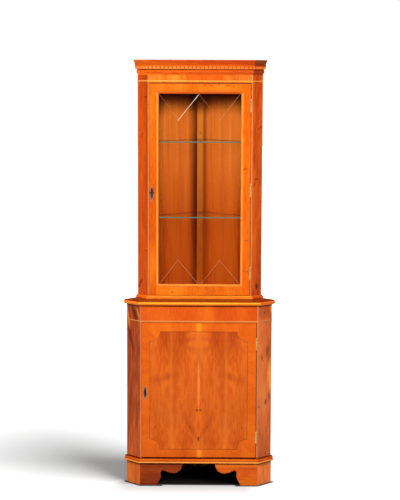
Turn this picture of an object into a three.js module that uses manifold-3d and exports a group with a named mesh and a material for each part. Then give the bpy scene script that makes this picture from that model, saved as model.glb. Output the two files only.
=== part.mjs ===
// Glazed corner cupboard in two stages: a display case over a cupboard base, each with canted sides.
// Millimetres, +Z up, the front faces -Y. The origin is on the floor under the middle of the cupboard.
import * as THREE from 'three';
import { mergeVertices } from 'three/addons/utils/BufferGeometryUtils.js';
import Module from 'manifold-3d';

const wasm = await Module();
wasm.setup();

// Plan of both stages. The walls stand at 45 degrees to the front and meet square behind it.
const diagonal = Math.SQRT1_2;
const mitreTan = Math.tan(Math.PI / 8);
const lowerHalfFront = 254;
const lowerReach = 61;
const upperHalfFront = 224.5;
const upperReach = 44.5;

// Boards and the clearances between them
const sideThickness = 18;
const backThickness = 6;
const railThickness = 18;
const doorThickness = 20;
const nibWidth = 5;
const lockGap = 1;
const hingeGap = 2.6;
const seatGap = 0.3;
const mitreGap = 0.15;
const stopGap = 0.3;
const cutOverrun = 1;

// Heights, from the floor up
const footHeight = 100;
const baseHeight = 20.6;
const lowerDoorFootGap = 3.4;
const lowerDoorHeight = 590.7;
const doorHeadGap = 1.3;
const lowerFriezeHeight = 76;
const ledgeThickness = 19.5;
const upperPlinthHeight = 14.5;
const upperDoorFootGap = 2;
const upperDoorHeight = 911;
const upperFriezeHeight = 91.7;
const corniceHeight = 65;
const corniceRise = 8;
const floorThickness = 16;
const topThickness = 12;
const topDrop = 6;

const baseTop = footHeight + baseHeight;
const lowerDoorLow = baseTop + lowerDoorFootGap;
const lowerDoorHigh = lowerDoorLow + lowerDoorHeight;
const lowerFriezeLow = lowerDoorHigh + doorHeadGap;
const lowerTop = lowerFriezeLow + lowerFriezeHeight;
const ledgeTop = lowerTop + ledgeThickness;
const plinthTop = ledgeTop + upperPlinthHeight;
const upperDoorLow = plinthTop + upperDoorFootGap;
const upperDoorHigh = upperDoorLow + upperDoorHeight;
const upperFriezeLow = upperDoorHigh + doorHeadGap;
const upperTop = upperFriezeLow + upperFriezeHeight;
const corniceTop = upperTop + corniceRise;
const floorTop = baseTop + floorThickness;
const topHigh = upperTop - topDrop;
const topLow = topHigh - topThickness;

// A stage's plan: half the front, how far the canted side reaches back, and where its front plane is.
function makePlan(halfFront, reach, front) {
  return { halfFront, reach, front, corner: front + halfFront + reach * 2 };
}

const lower = makePlan(lowerHalfFront, lowerReach, 0);
const upper = makePlan(upperHalfFront, upperReach, lower.corner - upperHalfFront - upperReach * 2);

// Point of the front arris, and of the wall end of the canted side, moved out by an offset
function arris(plan, out) {
  return [plan.halfFront + out * mitreTan, plan.front - out];
}

function wallEnd(plan, out) {
  return [plan.halfFront + plan.reach + out * diagonal, plan.front + plan.reach - out * diagonal];
}

// Moves a plan point along the canted side, towards the wall
function along([x, y], distance) {
  return [x + distance * diagonal, y + distance * diagonal];
}

const mirrored = (points) => points.map(([x, y]) => [-x, y]);
const onSide = (points, side) => (side < 0 ? mirrored(points) : points);

// Outline of a level board inside a stage, from a front edge back to the walls, or to the corner post
function insidePlan(plan, frontEdge, gap, postFace) {
  const inset = sideThickness + gap;
  const start = arris(plan, -inset);
  const front = [start[0] + frontEdge - start[1], frontEdge];
  const rear = along(wallEnd(plan, -inset), -backThickness - gap);
  const corner = plan.corner - (backThickness + gap) / diagonal;
  const tail = postFace === undefined ? [[0, corner]] : [[corner - postFace, postFace]];
  const right = [front, rear, ...tail];
  const left = mirrored(right).reverse();
  return postFace === undefined ? [...right, ...left.slice(1)] : [...right, ...left];
}

// Solids. A prism keeps its two levels exact, so that flat faces meet without overlapping.
function shapeOf(points) {
  return new THREE.Shape(points.map(([x, y]) => new THREE.Vector2(x, y)));
}

function extruded(shape, place) {
  const geometry = new THREE.ExtrudeGeometry(shape, { depth: 1, bevelEnabled: false });
  const position = geometry.attributes.position;
  for (let i = 0; i < position.count; i += 1) {
    const end = position.getZ(i) > 0.5 ? 1 : 0;
    position.setXYZ(i, ...place(position.getX(i), position.getY(i), end));
  }
  geometry.computeVertexNormals();
  return geometry;
}

// A plan outline raised from one level to another
function standing(outline, low, high) {
  const shape = outline instanceof THREE.Shape ? outline : shapeOf(outline);
  return extruded(shape, (x, y, end) => [x, y, end ? high : low]);
}

// A front elevation outline carried from its front face back to its rear face
function facing(outline, front, rear) {
  const shape = outline instanceof THREE.Shape ? outline : shapeOf(outline);
  return extruded(shape, (x, z, end) => [x, end ? front : rear, z]);
}

// A side elevation outline, in depth and height, carried from left to right
function spanning(outline, left, right) {
  const shape = outline instanceof THREE.Shape ? outline : shapeOf(outline);
  return extruded(shape, (y, z, end) => [end ? right : left, y, z]);
}

function block(x0, x1, y0, y1, z0, z1) {
  return standing([[x0, y0], [x1, y0], [x1, y1], [x0, y1]], z0, z1);
}

// Boolean work on closed meshes
const weld = 0.001;

function solidOf(geometry) {
  const bare = geometry.clone();
  bare.deleteAttribute('normal');
  bare.deleteAttribute('uv');
  const merged = mergeVertices(bare, weld);
  const vertProperties = merged.attributes.position.array;
  const triVerts = new Uint32Array(merged.index.array);
  return new wasm.Manifold(new wasm.Mesh({ numProp: 3, vertProperties, triVerts }));
}

function geometryOf(solid) {
  const mesh = solid.getMesh();
  const geometry = new THREE.BufferGeometry();
  geometry.setAttribute('position', new THREE.BufferAttribute(new Float32Array(mesh.vertProperties), 3));
  geometry.setIndex(new THREE.BufferAttribute(new Uint32Array(mesh.triVerts), 1));
  geometry.computeVertexNormals();
  return geometry;
}

const cut = (base, tools) => geometryOf(tools.reduce((a, b) => a.subtract(solidOf(b)), solidOf(base)));
const join = (parts) => geometryOf(parts.map(solidOf).reduce((a, b) => a.add(b)));

// Curves for outlines and profiles, as points on an ellipse quarter or any arc
function arcPoints(centreX, centreY, radiusX, radiusY, from, to, steps) {
  return Array.from({ length: steps + 1 }, (_, i) => {
    const angle = THREE.MathUtils.degToRad(from + ((to - from) * i) / steps);
    return [centreX + radiusX * Math.cos(angle), centreY + radiusY * Math.sin(angle)];
  });
}

// Materials
function material(color, roughness, metalness) {
  return new THREE.MeshStandardMaterial({ color, roughness, metalness });
}

const yewFace = material('#e8762a', 0.35, 0);
const yewCross = material('#f08a34', 0.35, 0);
const yewSide = material('#b9521f', 0.4, 0);
const yewMoulding = material('#f2852c', 0.35, 0);
const yewInside = material('#b9571f', 0.5, 0);
const paleWood = material('#d28a45', 0.5, 0);
const bareBoard = material('#a8794c', 0.8, 0);
const clearGlass = new THREE.MeshStandardMaterial({
  color: '#cfe0d8', roughness: 0.05, metalness: 0, transparent: true, opacity: 0.3,
});
const brass = material('#c9a063', 0.3, 1);
const agedBrass = material('#6f5a3c', 0.45, 1);
const steel = material('#8d8f92', 0.4, 1);

const cupboard = new THREE.Group();
const assembly = new THREE.Group();
cupboard.add(assembly);

function add(name, geometry, finish) {
  const mesh = new THREE.Mesh(geometry, finish);
  mesh.name = name;
  assembly.add(mesh);
}

const sides = [['left', -1], ['right', 1]];

// Moulded runs: a profile of projection and height, swept between two plan points that follow the
// projection, so that the ends are mitred.
function mouldedRun(profile, startAt, endAt) {
  return extruded(shapeOf(profile), (out, z, end) => [...(end ? endAt(out) : startAt(out)), z]);
}

function frontRun(plan, profile) {
  const rightEnd = (out) => [arris(plan, out)[0] - mitreGap, plan.front - out];
  const leftEnd = (out) => mirrored([rightEnd(out)])[0];
  return mouldedRun(profile, rightEnd, leftEnd);
}

function returnRun(plan, profile, side) {
  const near = (out) => onSide([along(arris(plan, out), mitreGap)], side)[0];
  const far = (out) => onSide([wallEnd(plan, out)], side)[0];
  return side > 0 ? mouldedRun(profile, far, near) : mouldedRun(profile, near, far);
}

// A board whose front and canted edges follow a profile and whose back edges lie on the walls
function mouldedBoard(plan, profile) {
  const rings = profile.map(([out, z]) => {
    const right = [arris(plan, out), wallEnd(plan, out)];
    return [...mirrored(right).reverse(), ...right, [0, plan.corner]].map(([x, y]) => [x, y, z]);
  });
  const count = rings[0].length;
  const index = [];
  rings.slice(1).forEach((_, level) => {
    for (let i = 0; i < count; i += 1) {
      const a = level * count + i;
      const b = level * count + ((i + 1) % count);
      index.push(a, b, b + count, a, b + count, a + count);
    }
  });
  const top = (rings.length - 1) * count;
  for (let i = 1; i < count - 1; i += 1) {
    index.push(0, i + 1, i, top, top + i, top + i + 1);
  }
  const geometry = new THREE.BufferGeometry();
  geometry.setAttribute('position', new THREE.Float32BufferAttribute(rings.flat(2), 3));
  geometry.setIndex(index);
  const flat = geometry.toNonIndexed();
  flat.computeVertexNormals();
  return flat;
}

// Canted sides, each with the nib that frames the door, and a mortise that the lock's bolt enters
const mortiseDepth = 8;
const boltThickness = 3;
const boltClearance = 0.4;

function cantedSide(plan, side) {
  const outer = arris(plan, 0);
  const outerEnd = along(wallEnd(plan, 0), -backThickness - seatGap);
  const innerEnd = along(wallEnd(plan, -sideThickness), -backThickness - seatGap);
  const start = arris(plan, -sideThickness);
  const nibFace = plan.halfFront - nibWidth;
  const innerStart = [nibFace, start[1] + nibFace - start[0]];
  return onSide([outer, outerEnd, innerEnd, innerStart, [nibFace, plan.front]], side);
}

function boltMortise(plan, lock) {
  const nibFace = plan.halfFront - nibWidth;
  return block(
    -nibFace - mortiseDepth, -nibFace + cutOverrun,
    lock.boltFront - boltClearance, lock.boltFront + boltThickness + boltClearance,
    lock.boltLow - boltClearance, lock.boltHigh + boltClearance,
  );
}

function addSides(stage, plan, low, high, lock, finish) {
  sides.forEach(([word, side]) => {
    const panel = standing(cantedSide(plan, side), low, high);
    const mortised = side < 0 ? cut(panel, [boltMortise(plan, lock)]) : panel;
    add(`${stage}_${word}_side`, mortised, finish);
  });
}

// Back panels on the two walls, and the corner post that covers their joint inside
const postHalfWidth = 15;

// A length of back panel, from the corner out to where a canted side or a moulding of that projection ends
function backPanel(plan, side, out, low, high) {
  const end = wallEnd(plan, out);
  const innerCorner = [0, plan.corner - backThickness / diagonal];
  return standing(onSide([end, [0, plan.corner], innerCorner, along(end, -backThickness)], side), low, high);
}

// The lower panels reach down between the base moulding and the feet, and stop just clear of the floor
const backFloorGap = 3;

function addLowerBacks(plan) {
  sides.forEach(([word, side]) => {
    const behindFeet = backPanel(plan, side, footOffset - footThickness - seatGap, backFloorGap,
      footHeight - seatGap);
    const behindBase = backPanel(plan, side, -baseDepth - seatGap, backFloorGap, baseTop);
    const wall = backPanel(plan, side, 0, baseTop, lowerTop);
    add(`lower_${word}_back`, join([behindFeet, behindBase, wall]), yewInside);
  });
}

function addUpperBacks(plan) {
  sides.forEach(([word, side]) => {
    add(`upper_${word}_back`, backPanel(plan, side, 0, plinthTop, upperTop), yewInside);
  });
}

const postApex = (plan) => plan.corner - (backThickness + seatGap) / diagonal;
const postFace = (plan) => postApex(plan) - postHalfWidth;

function addCornerPost(stage, plan, low, high) {
  const face = postFace(plan);
  const outline = [[-postHalfWidth, face], [postHalfWidth, face], [0, postApex(plan)]];
  add(`${stage}_corner_post`, standing(outline, low, high), paleWood);
}

// Bracket feet. The cut-out of the front face is given as shares of the foot's height and of its length.
const footOffset = 2.5;
const footThickness = 18;
const curveSteps = 9;
const rearFootHalfWidth = 45;
const toeShare = 0.282;
const kneeShares = [0.349, 0.33];
const notchLowShares = [0.341, 0.52];
const notchHighShares = [0.396, 0.66];
const notchPullShares = [0.36, 0.65];
const lobeLowShares = [0.545, 0.525];
const lobePullShares = [0.47, 0.53];
const lobeSideShares = [0.684, 0.7];
const lobeRoundShares = [0.63, 0.54];
const lobeTopShares = [0.711, 0.84];
const bracketEndShare = 0.725;

function bracketOutline(plan, side) {
  const at = ([inward, up]) => [side * plan.halfFront * (1 - inward), footHeight * up];
  const shape = new THREE.Shape();
  shape.moveTo(side * plan.halfFront, 0);
  shape.lineTo(side * plan.halfFront, footHeight);
  shape.lineTo(...at([bracketEndShare, 1]));
  shape.quadraticCurveTo(...at(lobeTopShares), ...at(lobeSideShares));
  shape.quadraticCurveTo(...at(lobeRoundShares), ...at(lobeLowShares));
  shape.quadraticCurveTo(...at(lobePullShares), ...at(notchHighShares));
  shape.quadraticCurveTo(...at(notchPullShares), ...at(notchLowShares));
  shape.lineTo(...at(kneeShares));
  shape.lineTo(...at([toeShare, 0]));
  return shape;
}

function addFeet(plan) {
  sides.forEach(([word, side]) => {
    const shape = bracketOutline(plan, side);
    const curve = new THREE.Shape(shape.getPoints(curveSteps));
    const front = extruded(curve, (x, z, end) => {
      const out = end ? footOffset : footOffset - footThickness;
      const atArris = Math.abs(x) > plan.halfFront - weld;
      return [atArris ? side * (arris(plan, out)[0] - mitreGap) : x, plan.front - out, z];
    });
    add(`foot_front_${word}`, front, yewFace);
    const inner = footOffset - footThickness;
    const cheek = [along(arris(plan, footOffset), mitreGap), wallEnd(plan, footOffset),
      wallEnd(plan, inner), along(arris(plan, inner), mitreGap)];
    add(`foot_side_${word}`, standing(onSide(cheek, side), 0, footHeight), yewSide);
  });
  const tip = [0, postApex(plan)];
  const wing = [rearFootHalfWidth, tip[1] - rearFootHalfWidth];
  const outline = [tip, ...mirrored([wing]), [-footThickness, wing[1] - footThickness],
    [footThickness, wing[1] - footThickness], wing];
  add('rear_foot', standing(outline, 0, baseTop), bareBoard);
}

// Base moulding: a frame of moulded boards between the feet and the lower case
const baseProjection = 18;
const baseBead = 4;
const baseGroove = 12;
const baseShoulder = 9;
const baseDepth = 40;
const baseGrooveHeight = 9;

function baseProfile() {
  const beadCentre = footHeight + baseBead;
  const beadOut = baseProjection - baseBead;
  return [
    [-baseDepth, baseTop], [-baseDepth, footHeight],
    ...arcPoints(beadOut, beadCentre, baseBead, baseBead, -90, 90, 8),
    [baseGroove, footHeight + baseGrooveHeight],
    ...arcPoints(baseShoulder, footHeight + baseGrooveHeight, baseProjection - baseShoulder - baseBead,
      baseHeight - baseGrooveHeight, 15, 90, 5),
  ];
}

function addBaseMoulding(plan) {
  const profile = baseProfile();
  add('base_moulding_front', frontRun(plan, profile), yewMoulding);
  sides.forEach(([word, side]) => {
    add(`base_moulding_${word}`, returnRun(plan, profile, side), yewMoulding);
  });
}

// Ledge between the stages, with a round nosing, and the moulded plinth board of the display case.
// Its middle is the display floor, a little higher than the seat of the walls, which it holds in place.
const ledgeProjection = 18;
const plinthProjection = 14;
const plinthFoot = 8;
const plinthShoulder = 2;
const plinthBeadHeight = 9;
const displayFloorRise = 2;

function addLedge() {
  const nose = ledgeThickness / 2;
  const profile = arcPoints(ledgeProjection - nose, lowerTop + nose, nose, nose, -90, 90, 10);
  add('waist_ledge', mouldedBoard(lower, profile), yewMoulding);
}

function addUpperPlinth() {
  const bead = plinthBeadHeight / 2;
  const profile = [
    [plinthFoot, ledgeTop],
    ...arcPoints(plinthProjection - bead, ledgeTop + bead, bead, bead, -60, 70, 6),
    ...arcPoints(plinthShoulder, ledgeTop + plinthBeadHeight, plinthProjection - bead - plinthShoulder,
      upperPlinthHeight - plinthBeadHeight, 10, 90, 4),
  ];
  const floorFront = upper.front + doorThickness + stopGap;
  const floorPlan = insidePlan(upper, floorFront, seatGap, postFace(upper) - seatGap);
  const displayFloor = standing(floorPlan, ledgeTop + plinthBeadHeight, plinthTop + displayFloorRise);
  add('upper_plinth_board', join([mouldedBoard(upper, profile), displayFloor]), yewMoulding);
}

// Cornice, from the small cove at its foot up to the fillet, with a dentil band cut across it
const coveWidth = 6;
const coveHeight = 9;
const roundWidth = 3;
const roundHeight = 13;
const dentilRecess = 7;
const dentilProjection = 15;
const dentilGapHeight = 4;
const dentilHeight = 11;
const dentilPitch = 16.8;
const dentilSlot = 8;
const beadHeight = 7;
const beadWidth = 3;
const crownWidth = 7;
const crownHeight = 15;
const corniceFillet = 1;

function cornicePlaces() {
  const low = corniceTop - corniceHeight;
  const roundLow = low + coveHeight;
  const dentilLow = roundLow + roundHeight + dentilGapHeight;
  const beadLow = dentilLow + dentilHeight;
  const crownLow = beadLow + beadHeight;
  return { low, roundLow, dentilLow, beadLow, crownLow };
}

function corniceProfile() {
  const { low, roundLow, dentilLow, beadLow, crownLow } = cornicePlaces();
  const roundOut = coveWidth + corniceFillet;
  const beadOut = dentilProjection + corniceFillet;
  const crownOut = beadOut + crownWidth;
  return [
    [0, corniceTop],
    ...arcPoints(coveWidth, low, coveWidth, coveHeight, 180, 90, 4),
    ...arcPoints(roundOut, roundLow + roundHeight / 2, roundWidth, roundHeight / 2, -90, 90, 8),
    [dentilRecess, dentilLow], [dentilProjection, dentilLow], [dentilProjection, beadLow],
    ...arcPoints(beadOut, beadLow + beadHeight / 2, beadWidth, beadHeight / 2, -90, 90, 6),
    ...arcPoints(crownOut, crownLow, crownWidth, crownHeight, 180, 90, 7).slice(1),
    [crownOut + corniceFillet, crownLow + crownHeight], [crownOut + corniceFillet, corniceTop],
  ];
}

// Slots between the dentils, as boxes on a run that goes from one plan point to another
function dentilSlots(from, to) {
  const { dentilLow, beadLow } = cornicePlaces();
  const length = Math.hypot(to[0] - from[0], to[1] - from[1]);
  const turn = Math.atan2(to[1] - from[1], to[0] - from[0]);
  const count = Math.round(length / dentilPitch);
  const depth = dentilProjection - dentilRecess;
  return Array.from({ length: count }, (_, i) => {
    const middle = (length * (i + 0.5)) / count;
    const slot = block(middle - dentilSlot / 2, middle + dentilSlot / 2, -cutOverrun, depth,
      dentilLow - cutOverrun, beadLow);
    slot.rotateZ(turn);
    slot.translate(from[0], from[1], 0);
    return slot;
  });
}

function addCornice(plan) {
  const profile = corniceProfile();
  const nose = arris(plan, dentilProjection);
  const end = wallEnd(plan, dentilProjection);
  const [leftNose, leftEnd] = mirrored([nose, end]);
  add('cornice_front', cut(frontRun(plan, profile), dentilSlots(leftNose, nose)), yewMoulding);
  const planted = profile.map(([out, z]) => [Math.max(out, seatGap), z]);
  const runs = { left: dentilSlots(leftEnd, leftNose), right: dentilSlots(nose, end) };
  sides.forEach(([word, side]) => {
    add(`cornice_${word}`, cut(returnRun(plan, planted, side), runs[word]), yewMoulding);
  });
}

// Friezes, floor, fixed shelf, top board and door stop
const lowerShelfHeight = 330;
const lowerShelfThickness = 16;
const lowerShelfSetback = 40;
const stopWidth = 12;
const stopDrop = 14;
const stopRise = 20;

function frieze(plan, low, high) {
  const reach = plan.halfFront - nibWidth;
  return block(-reach, reach, plan.front, plan.front + railThickness, low, high);
}

function addCarcaseBoards() {
  add('lower_frieze', frieze(lower, lowerFriezeLow, lowerTop), yewFace);
  add('upper_frieze', frieze(upper, upperFriezeLow, upperTop), yewCross);
  const floorFront = lower.front + doorThickness + stopGap;
  const floorPlan = insidePlan(lower, floorFront, seatGap, postFace(lower) - seatGap);
  add('lower_floor', standing(floorPlan, baseTop, floorTop), bareBoard);
  const shelfLow = baseTop + lowerShelfHeight;
  const shelfFront = lower.front + doorThickness + lowerShelfSetback;
  const shelfPlan = insidePlan(lower, shelfFront, seatGap, postFace(lower) - seatGap);
  add('lower_shelf', standing(shelfPlan, shelfLow, shelfLow + lowerShelfThickness), bareBoard);
  const topPlan = insidePlan(upper, upper.front + railThickness + stopGap, seatGap);
  add('upper_top_board', standing(topPlan, topLow, topHigh), bareBoard);
  const stopReach = upper.halfFront - nibWidth - seatGap;
  const stopFront = upper.front + doorThickness + stopGap;
  const tongueLow = upperFriezeLow + stopGap;
  const stop = join([
    block(-stopReach, stopReach, stopFront, stopFront + stopWidth, upperDoorHigh - stopDrop,
      upperDoorHigh + stopRise),
    block(-stopReach, stopReach, upper.front + railThickness, stopFront + stopWidth, tongueLow,
      upperDoorHigh + stopRise),
  ]);
  add('upper_door_stop', stop, bareBoard);
}

// Glass shelves on flat-topped pegs: one in each canted side and one in the corner post
const glassThickness = 6;
const glassShelfLevels = { lower: 334, upper: 660 };
const glassSetback = 28;
const glassGap = 1;
const pegRadius = 3.5;
const pegFlat = 2;
const pegLength = 9;
const pegPlace = 34;

function pegOutline(low) {
  const start = THREE.MathUtils.radToDeg(Math.asin(pegFlat / pegRadius));
  return arcPoints(0, low - pegFlat, pegRadius, pegRadius, 180 - start, 360 + start, 10);
}

function addGlassShelf(word, rise) {
  const low = plinthTop + rise;
  const front = upper.front + glassSetback;
  const outline = insidePlan(upper, front, glassGap, postFace(upper) - glassGap);
  add(`glass_shelf_${word}`, standing(outline, low, low + glassThickness), clearGlass);
  const inner = along(arris(upper, -sideThickness), pegPlace);
  sides.forEach(([hand, side]) => {
    const peg = facing(pegOutline(low), -pegLength, 0);
    peg.rotateZ((-side * Math.PI * 3) / 4);
    const seat = [inner[0] - seatGap * diagonal, inner[1] + seatGap * diagonal];
    const [x, y] = onSide([seat], side)[0];
    peg.translate(x, y, 0);
    add(`shelf_peg_${word}_${hand}`, peg, brass);
  });
  const face = postFace(upper);
  add(`shelf_peg_${word}_back`, facing(pegOutline(low), face - pegLength, face), brass);
}

// Locks: a case let into the back of the closing stile, its bolt, and the keyhole in front
const lockWidth = 27;
const lockHeight = 50;
const lockDepth = 10;
const lockWall = 1.5;
const lockPlate = 2;
const keyholeRadius = 2.5;
const keyholeSlot = 3;
const keyholeDrop = 9;
const boltRise = 7;
const boltHeight = 10;
const boltLength = 20;

// Places of a lock, from the door's closing edge, the height of its keyhole and the door's front
function makeLock(edge, backset, keyhole, front) {
  const back = front + doorThickness;
  return {
    edge,
    x: edge + backset,
    z: keyhole,
    back,
    front: back - lockDepth,
    doorFront: front,
    boltFront: back - lockDepth / 2 - boltThickness / 2,
    boltLow: keyhole + boltRise,
    boltHigh: keyhole + boltRise + boltHeight,
  };
}

const upperBackset = 12;
const lowerBackset = 15;
const upperKeyholeRise = 447;
const lowerKeyholeRise = 292;
const upperEdge = -upper.halfFront + nibWidth + lockGap;
const lowerEdge = -lower.halfFront + nibWidth + lockGap;
const upperLock = makeLock(upperEdge, upperBackset, upperDoorLow + upperKeyholeRise, upper.front);
const lowerLock = makeLock(lowerEdge, lowerBackset, lowerDoorLow + lowerKeyholeRise, lower.front);

function keyholeShape(lock) {
  const half = keyholeSlot / 2;
  const meet = THREE.MathUtils.radToDeg(Math.acos(half / keyholeRadius));
  const ring = arcPoints(lock.x, lock.z, keyholeRadius, keyholeRadius, -meet, 180 + meet, 12);
  return [...ring, [lock.x - half, lock.z - keyholeDrop], [lock.x + half, lock.z - keyholeDrop]];
}

const lockLow = (lock) => lock.z - lockHeight / 2;
const lockHigh = (lock) => lock.z + lockHeight / 2;

// What a door stile or panel loses to its lock: the recess in its back and the keyhole through it
function lockCuts(lock) {
  return [
    block(lock.edge - cutOverrun, lock.edge + lockWidth, lock.front, lock.back + cutOverrun,
      lockLow(lock), lockHigh(lock)),
    facing(keyholeShape(lock), lock.doorFront - cutOverrun, lock.front + cutOverrun),
  ];
}

function addLock(stage, lock) {
  const body = block(lock.edge, lock.edge + lockWidth, lock.front, lock.back, lockLow(lock), lockHigh(lock));
  const hollow = block(lock.edge + lockPlate, lock.edge + lockWidth - lockWall, lock.front - cutOverrun,
    lock.back - lockWall, lockLow(lock) + lockWall, lockHigh(lock) - lockWall);
  const mouth = block(lock.edge - cutOverrun, lock.edge + lockPlate + cutOverrun,
    lock.boltFront - boltClearance, lock.boltFront + boltThickness + boltClearance,
    lock.boltLow - boltClearance, lock.boltHigh + boltClearance);
  add(`${stage}_lock_case`, cut(body, [hollow, mouth]), steel);
  const bolt = block(lock.edge, lock.edge + boltLength, lock.boltFront, lock.boltFront + boltThickness,
    lock.boltLow, lock.boltHigh);
  add(`${stage}_lock_bolt`, bolt, brass);
}

// Escutcheons: pointed ovals with a keyhole, which lies a little above their middle
const escutcheonWidth = 16;
const escutcheonThickness = 1;

function addEscutcheon(stage, lock, height, drop) {
  const halfWidth = escutcheonWidth / 2;
  const halfHeight = height / 2;
  const radius = (halfHeight * halfHeight + halfWidth * halfWidth) / escutcheonWidth;
  const sweep = THREE.MathUtils.radToDeg(Math.asin(halfHeight / radius));
  const middle = lock.z - drop;
  const rightArc = arcPoints(lock.x - radius + halfWidth, middle, radius, radius, -sweep, sweep, 10);
  const leftArc = arcPoints(lock.x + radius - halfWidth, middle, radius, radius, 180 - sweep,
    180 + sweep, 10);
  const plate = shapeOf([...rightArc.slice(0, -1), ...leftArc.slice(0, -1)]);
  plate.holes.push(new THREE.Path(keyholeShape(lock).map(([x, z]) => new THREE.Vector2(x, z))));
  const geometry = facing(plate, lock.doorFront - escutcheonThickness, lock.doorFront);
  add(`${stage}_escutcheon`, geometry, agedBrass);
}

const upperEscutcheonHeight = 68;
const upperEscutcheonDrop = 6;
const lowerEscutcheonHeight = 65;
const lowerEscutcheonDrop = 7.5;

// Key in the upper lock, with its bow level
const keyRadius = 2.2;
const keyShankOut = 14;
const bowHalfWidth = 11;
const bowHalfLength = 8.5;
const bowRim = 3;
const bowThickness = 2.5;
const bitLength = 3;
const bitReach = 4.5;
const bitThickness = 2;

function addKey(lock) {
  const tip = lock.boltFront + bitLength;
  const bowCentre = lock.doorFront - keyShankOut - bowHalfLength;
  const shankStart = bowCentre + bowHalfLength - bowRim / 2;
  const shank = facing(arcPoints(lock.x, lock.z, keyRadius, keyRadius, 0, 330, 11), shankStart, tip);
  const bow = shapeOf(arcPoints(lock.x, bowCentre, bowHalfWidth, bowHalfLength, 0, 345, 23));
  const eye = arcPoints(lock.x, bowCentre, bowHalfWidth - bowRim, bowHalfLength - bowRim, 0, 340, 17);
  bow.holes.push(new THREE.Path(eye.map(([x, y]) => new THREE.Vector2(x, y))));
  const bit = block(lock.x, lock.x + keyRadius + bitReach, tip - bitLength, tip,
    lock.z - bitThickness / 2, lock.z + bitThickness / 2);
  const ring = standing(bow, lock.z - bowThickness / 2, lock.z + bowThickness / 2);
  add('upper_door_key', join([shank, ring, bit]), agedBrass);
}

// Glazed door: stiles the full height, rails between them, and a moulded inner edge that is mitred
const stileFlat = 31;
const headRailFlat = 33;
const footRailFlat = 37;
const edgeBead = 10;
const beadQuirk = 0.8;
const beadFall = 5;
const rebateWidth = 6;
const paneFront = 8;
const paneThickness = 4;
const paneGap = 0.5;

// Section of a frame member, as distance from its outer edge and depth behind the door's front
function memberSection(flat) {
  const inner = flat + edgeBead;
  const bead = arcPoints(flat + beadQuirk, beadFall + beadQuirk, edgeBead - beadQuirk, -beadFall, 90, 0, 5);
  return [
    [0, 0], [flat, 0], [flat, beadQuirk * 2], ...bead, [inner, paneFront],
    [inner - rebateWidth, paneFront], [inner - rebateWidth, doorThickness], [0, doorThickness],
  ];
}

function addGlazedDoor() {
  const front = upper.front;
  const leftEdge = upperEdge;
  const rightEdge = upper.halfFront - nibWidth - hingeGap;
  const openLow = upperDoorLow + footRailFlat + edgeBead;
  const openHigh = upperDoorHigh - headRailFlat - edgeBead;
  const openLeft = leftEdge + stileFlat + edgeBead;
  const openRight = rightEdge - stileFlat - edgeBead;
  const beyond = edgeBead + cutOverrun;

  // The moulded edge of a stile stops at the mitre, and the rail takes over from there
  const wedge = (x, inward, z, outward, shift) => facing([
    [x + inward * cutOverrun, z - outward * (cutOverrun - shift)],
    [x - inward * beyond, z + outward * (beyond + shift)],
    [x + inward * cutOverrun, z + outward * (beyond + shift)],
  ], front - cutOverrun, front + doorThickness + cutOverrun);
  const keepFlat = (x, inward, z, outward) => block(
    Math.min(x - inward * edgeBead, x + inward * cutOverrun),
    Math.max(x - inward * edgeBead, x + inward * cutOverrun),
    front - cutOverrun, front + doorThickness + cutOverrun,
    Math.min(z + outward * edgeBead, z + outward * (edgeBead + footRailFlat + cutOverrun)),
    Math.max(z + outward * edgeBead, z + outward * (edgeBead + footRailFlat + cutOverrun)),
  );
  const stileCuts = (x, inward) => [
    wedge(x, inward, openHigh, 1, -seatGap / 2), keepFlat(x, inward, openHigh, 1),
    wedge(x, inward, openLow, -1, -seatGap / 2), keepFlat(x, inward, openLow, -1),
  ];
  const stile = (edge, inward) => standing(
    memberSection(stileFlat).map(([w, depth]) => [edge + inward * w, front + depth]),
    upperDoorLow, upperDoorHigh,
  );
  const leftCuts = [...stileCuts(openLeft, 1), ...lockCuts(upperLock)];
  add('upper_door_left_stile', cut(stile(leftEdge, 1), leftCuts), yewFace);
  add('upper_door_right_stile', cut(stile(rightEdge, -1), stileCuts(openRight, -1)), yewFace);

  const rail = (edge, inward, flat) => spanning(
    memberSection(flat).map(([w, depth]) => [front + depth, edge + inward * w]),
    leftEdge + stileFlat, rightEdge - stileFlat,
  );
  const railCut = (x, inward, z, outward) => facing([
    [x + inward * cutOverrun, z - outward * (cutOverrun - seatGap / 2)],
    [x - inward * beyond, z + outward * (beyond + seatGap / 2)],
    [x - inward * beyond, z - outward * cutOverrun],
  ], front - cutOverrun, front + doorThickness + cutOverrun);
  const railCuts = (z, outward) => [railCut(openLeft, 1, z, outward), railCut(openRight, -1, z, outward)];
  const head = cut(rail(upperDoorHigh, -1, headRailFlat), railCuts(openHigh, 1));
  const foot = cut(rail(upperDoorLow, 1, footRailFlat), railCuts(openLow, -1));
  add('upper_door_head_rail', head, yewCross);
  add('upper_door_foot_rail', foot, yewCross);

  const lap = rebateWidth - paneGap;
  const pane = block(openLeft - lap, openRight + lap, front + paneFront, front + paneFront + paneThickness,
    openLow - lap, openHigh + lap);
  add('upper_door_pane', pane, clearGlass);
}

function addLowerDoor() {
  const rightEdge = lower.halfFront - nibWidth - hingeGap;
  const panel = block(lowerEdge, rightEdge, lower.front, lower.front + doorThickness, lowerDoorLow,
    lowerDoorHigh);
  add('lower_door_panel', cut(panel, lockCuts(lowerLock)), yewFace);
}

// Butt hinges: leaves in the gap beside the door, knuckles proud of the front, pin fixed to the frame leaf
const knuckleRadius = 4;
const pinRadius = 1.5;
const finialRadius = 2.6;
const finialHeight = 2.5;
const leafThickness = 1;
const leafDepth = 16;
const leafStart = 0.5;
const knuckleCount = 5;
const upperHingeHeight = 54;
const lowerHingeHeight = 50;
const upperHingeShares = [0.1052, 0.5004, 0.8989];
const lowerHingeShares = [0.1517, 0.8496];

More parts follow.
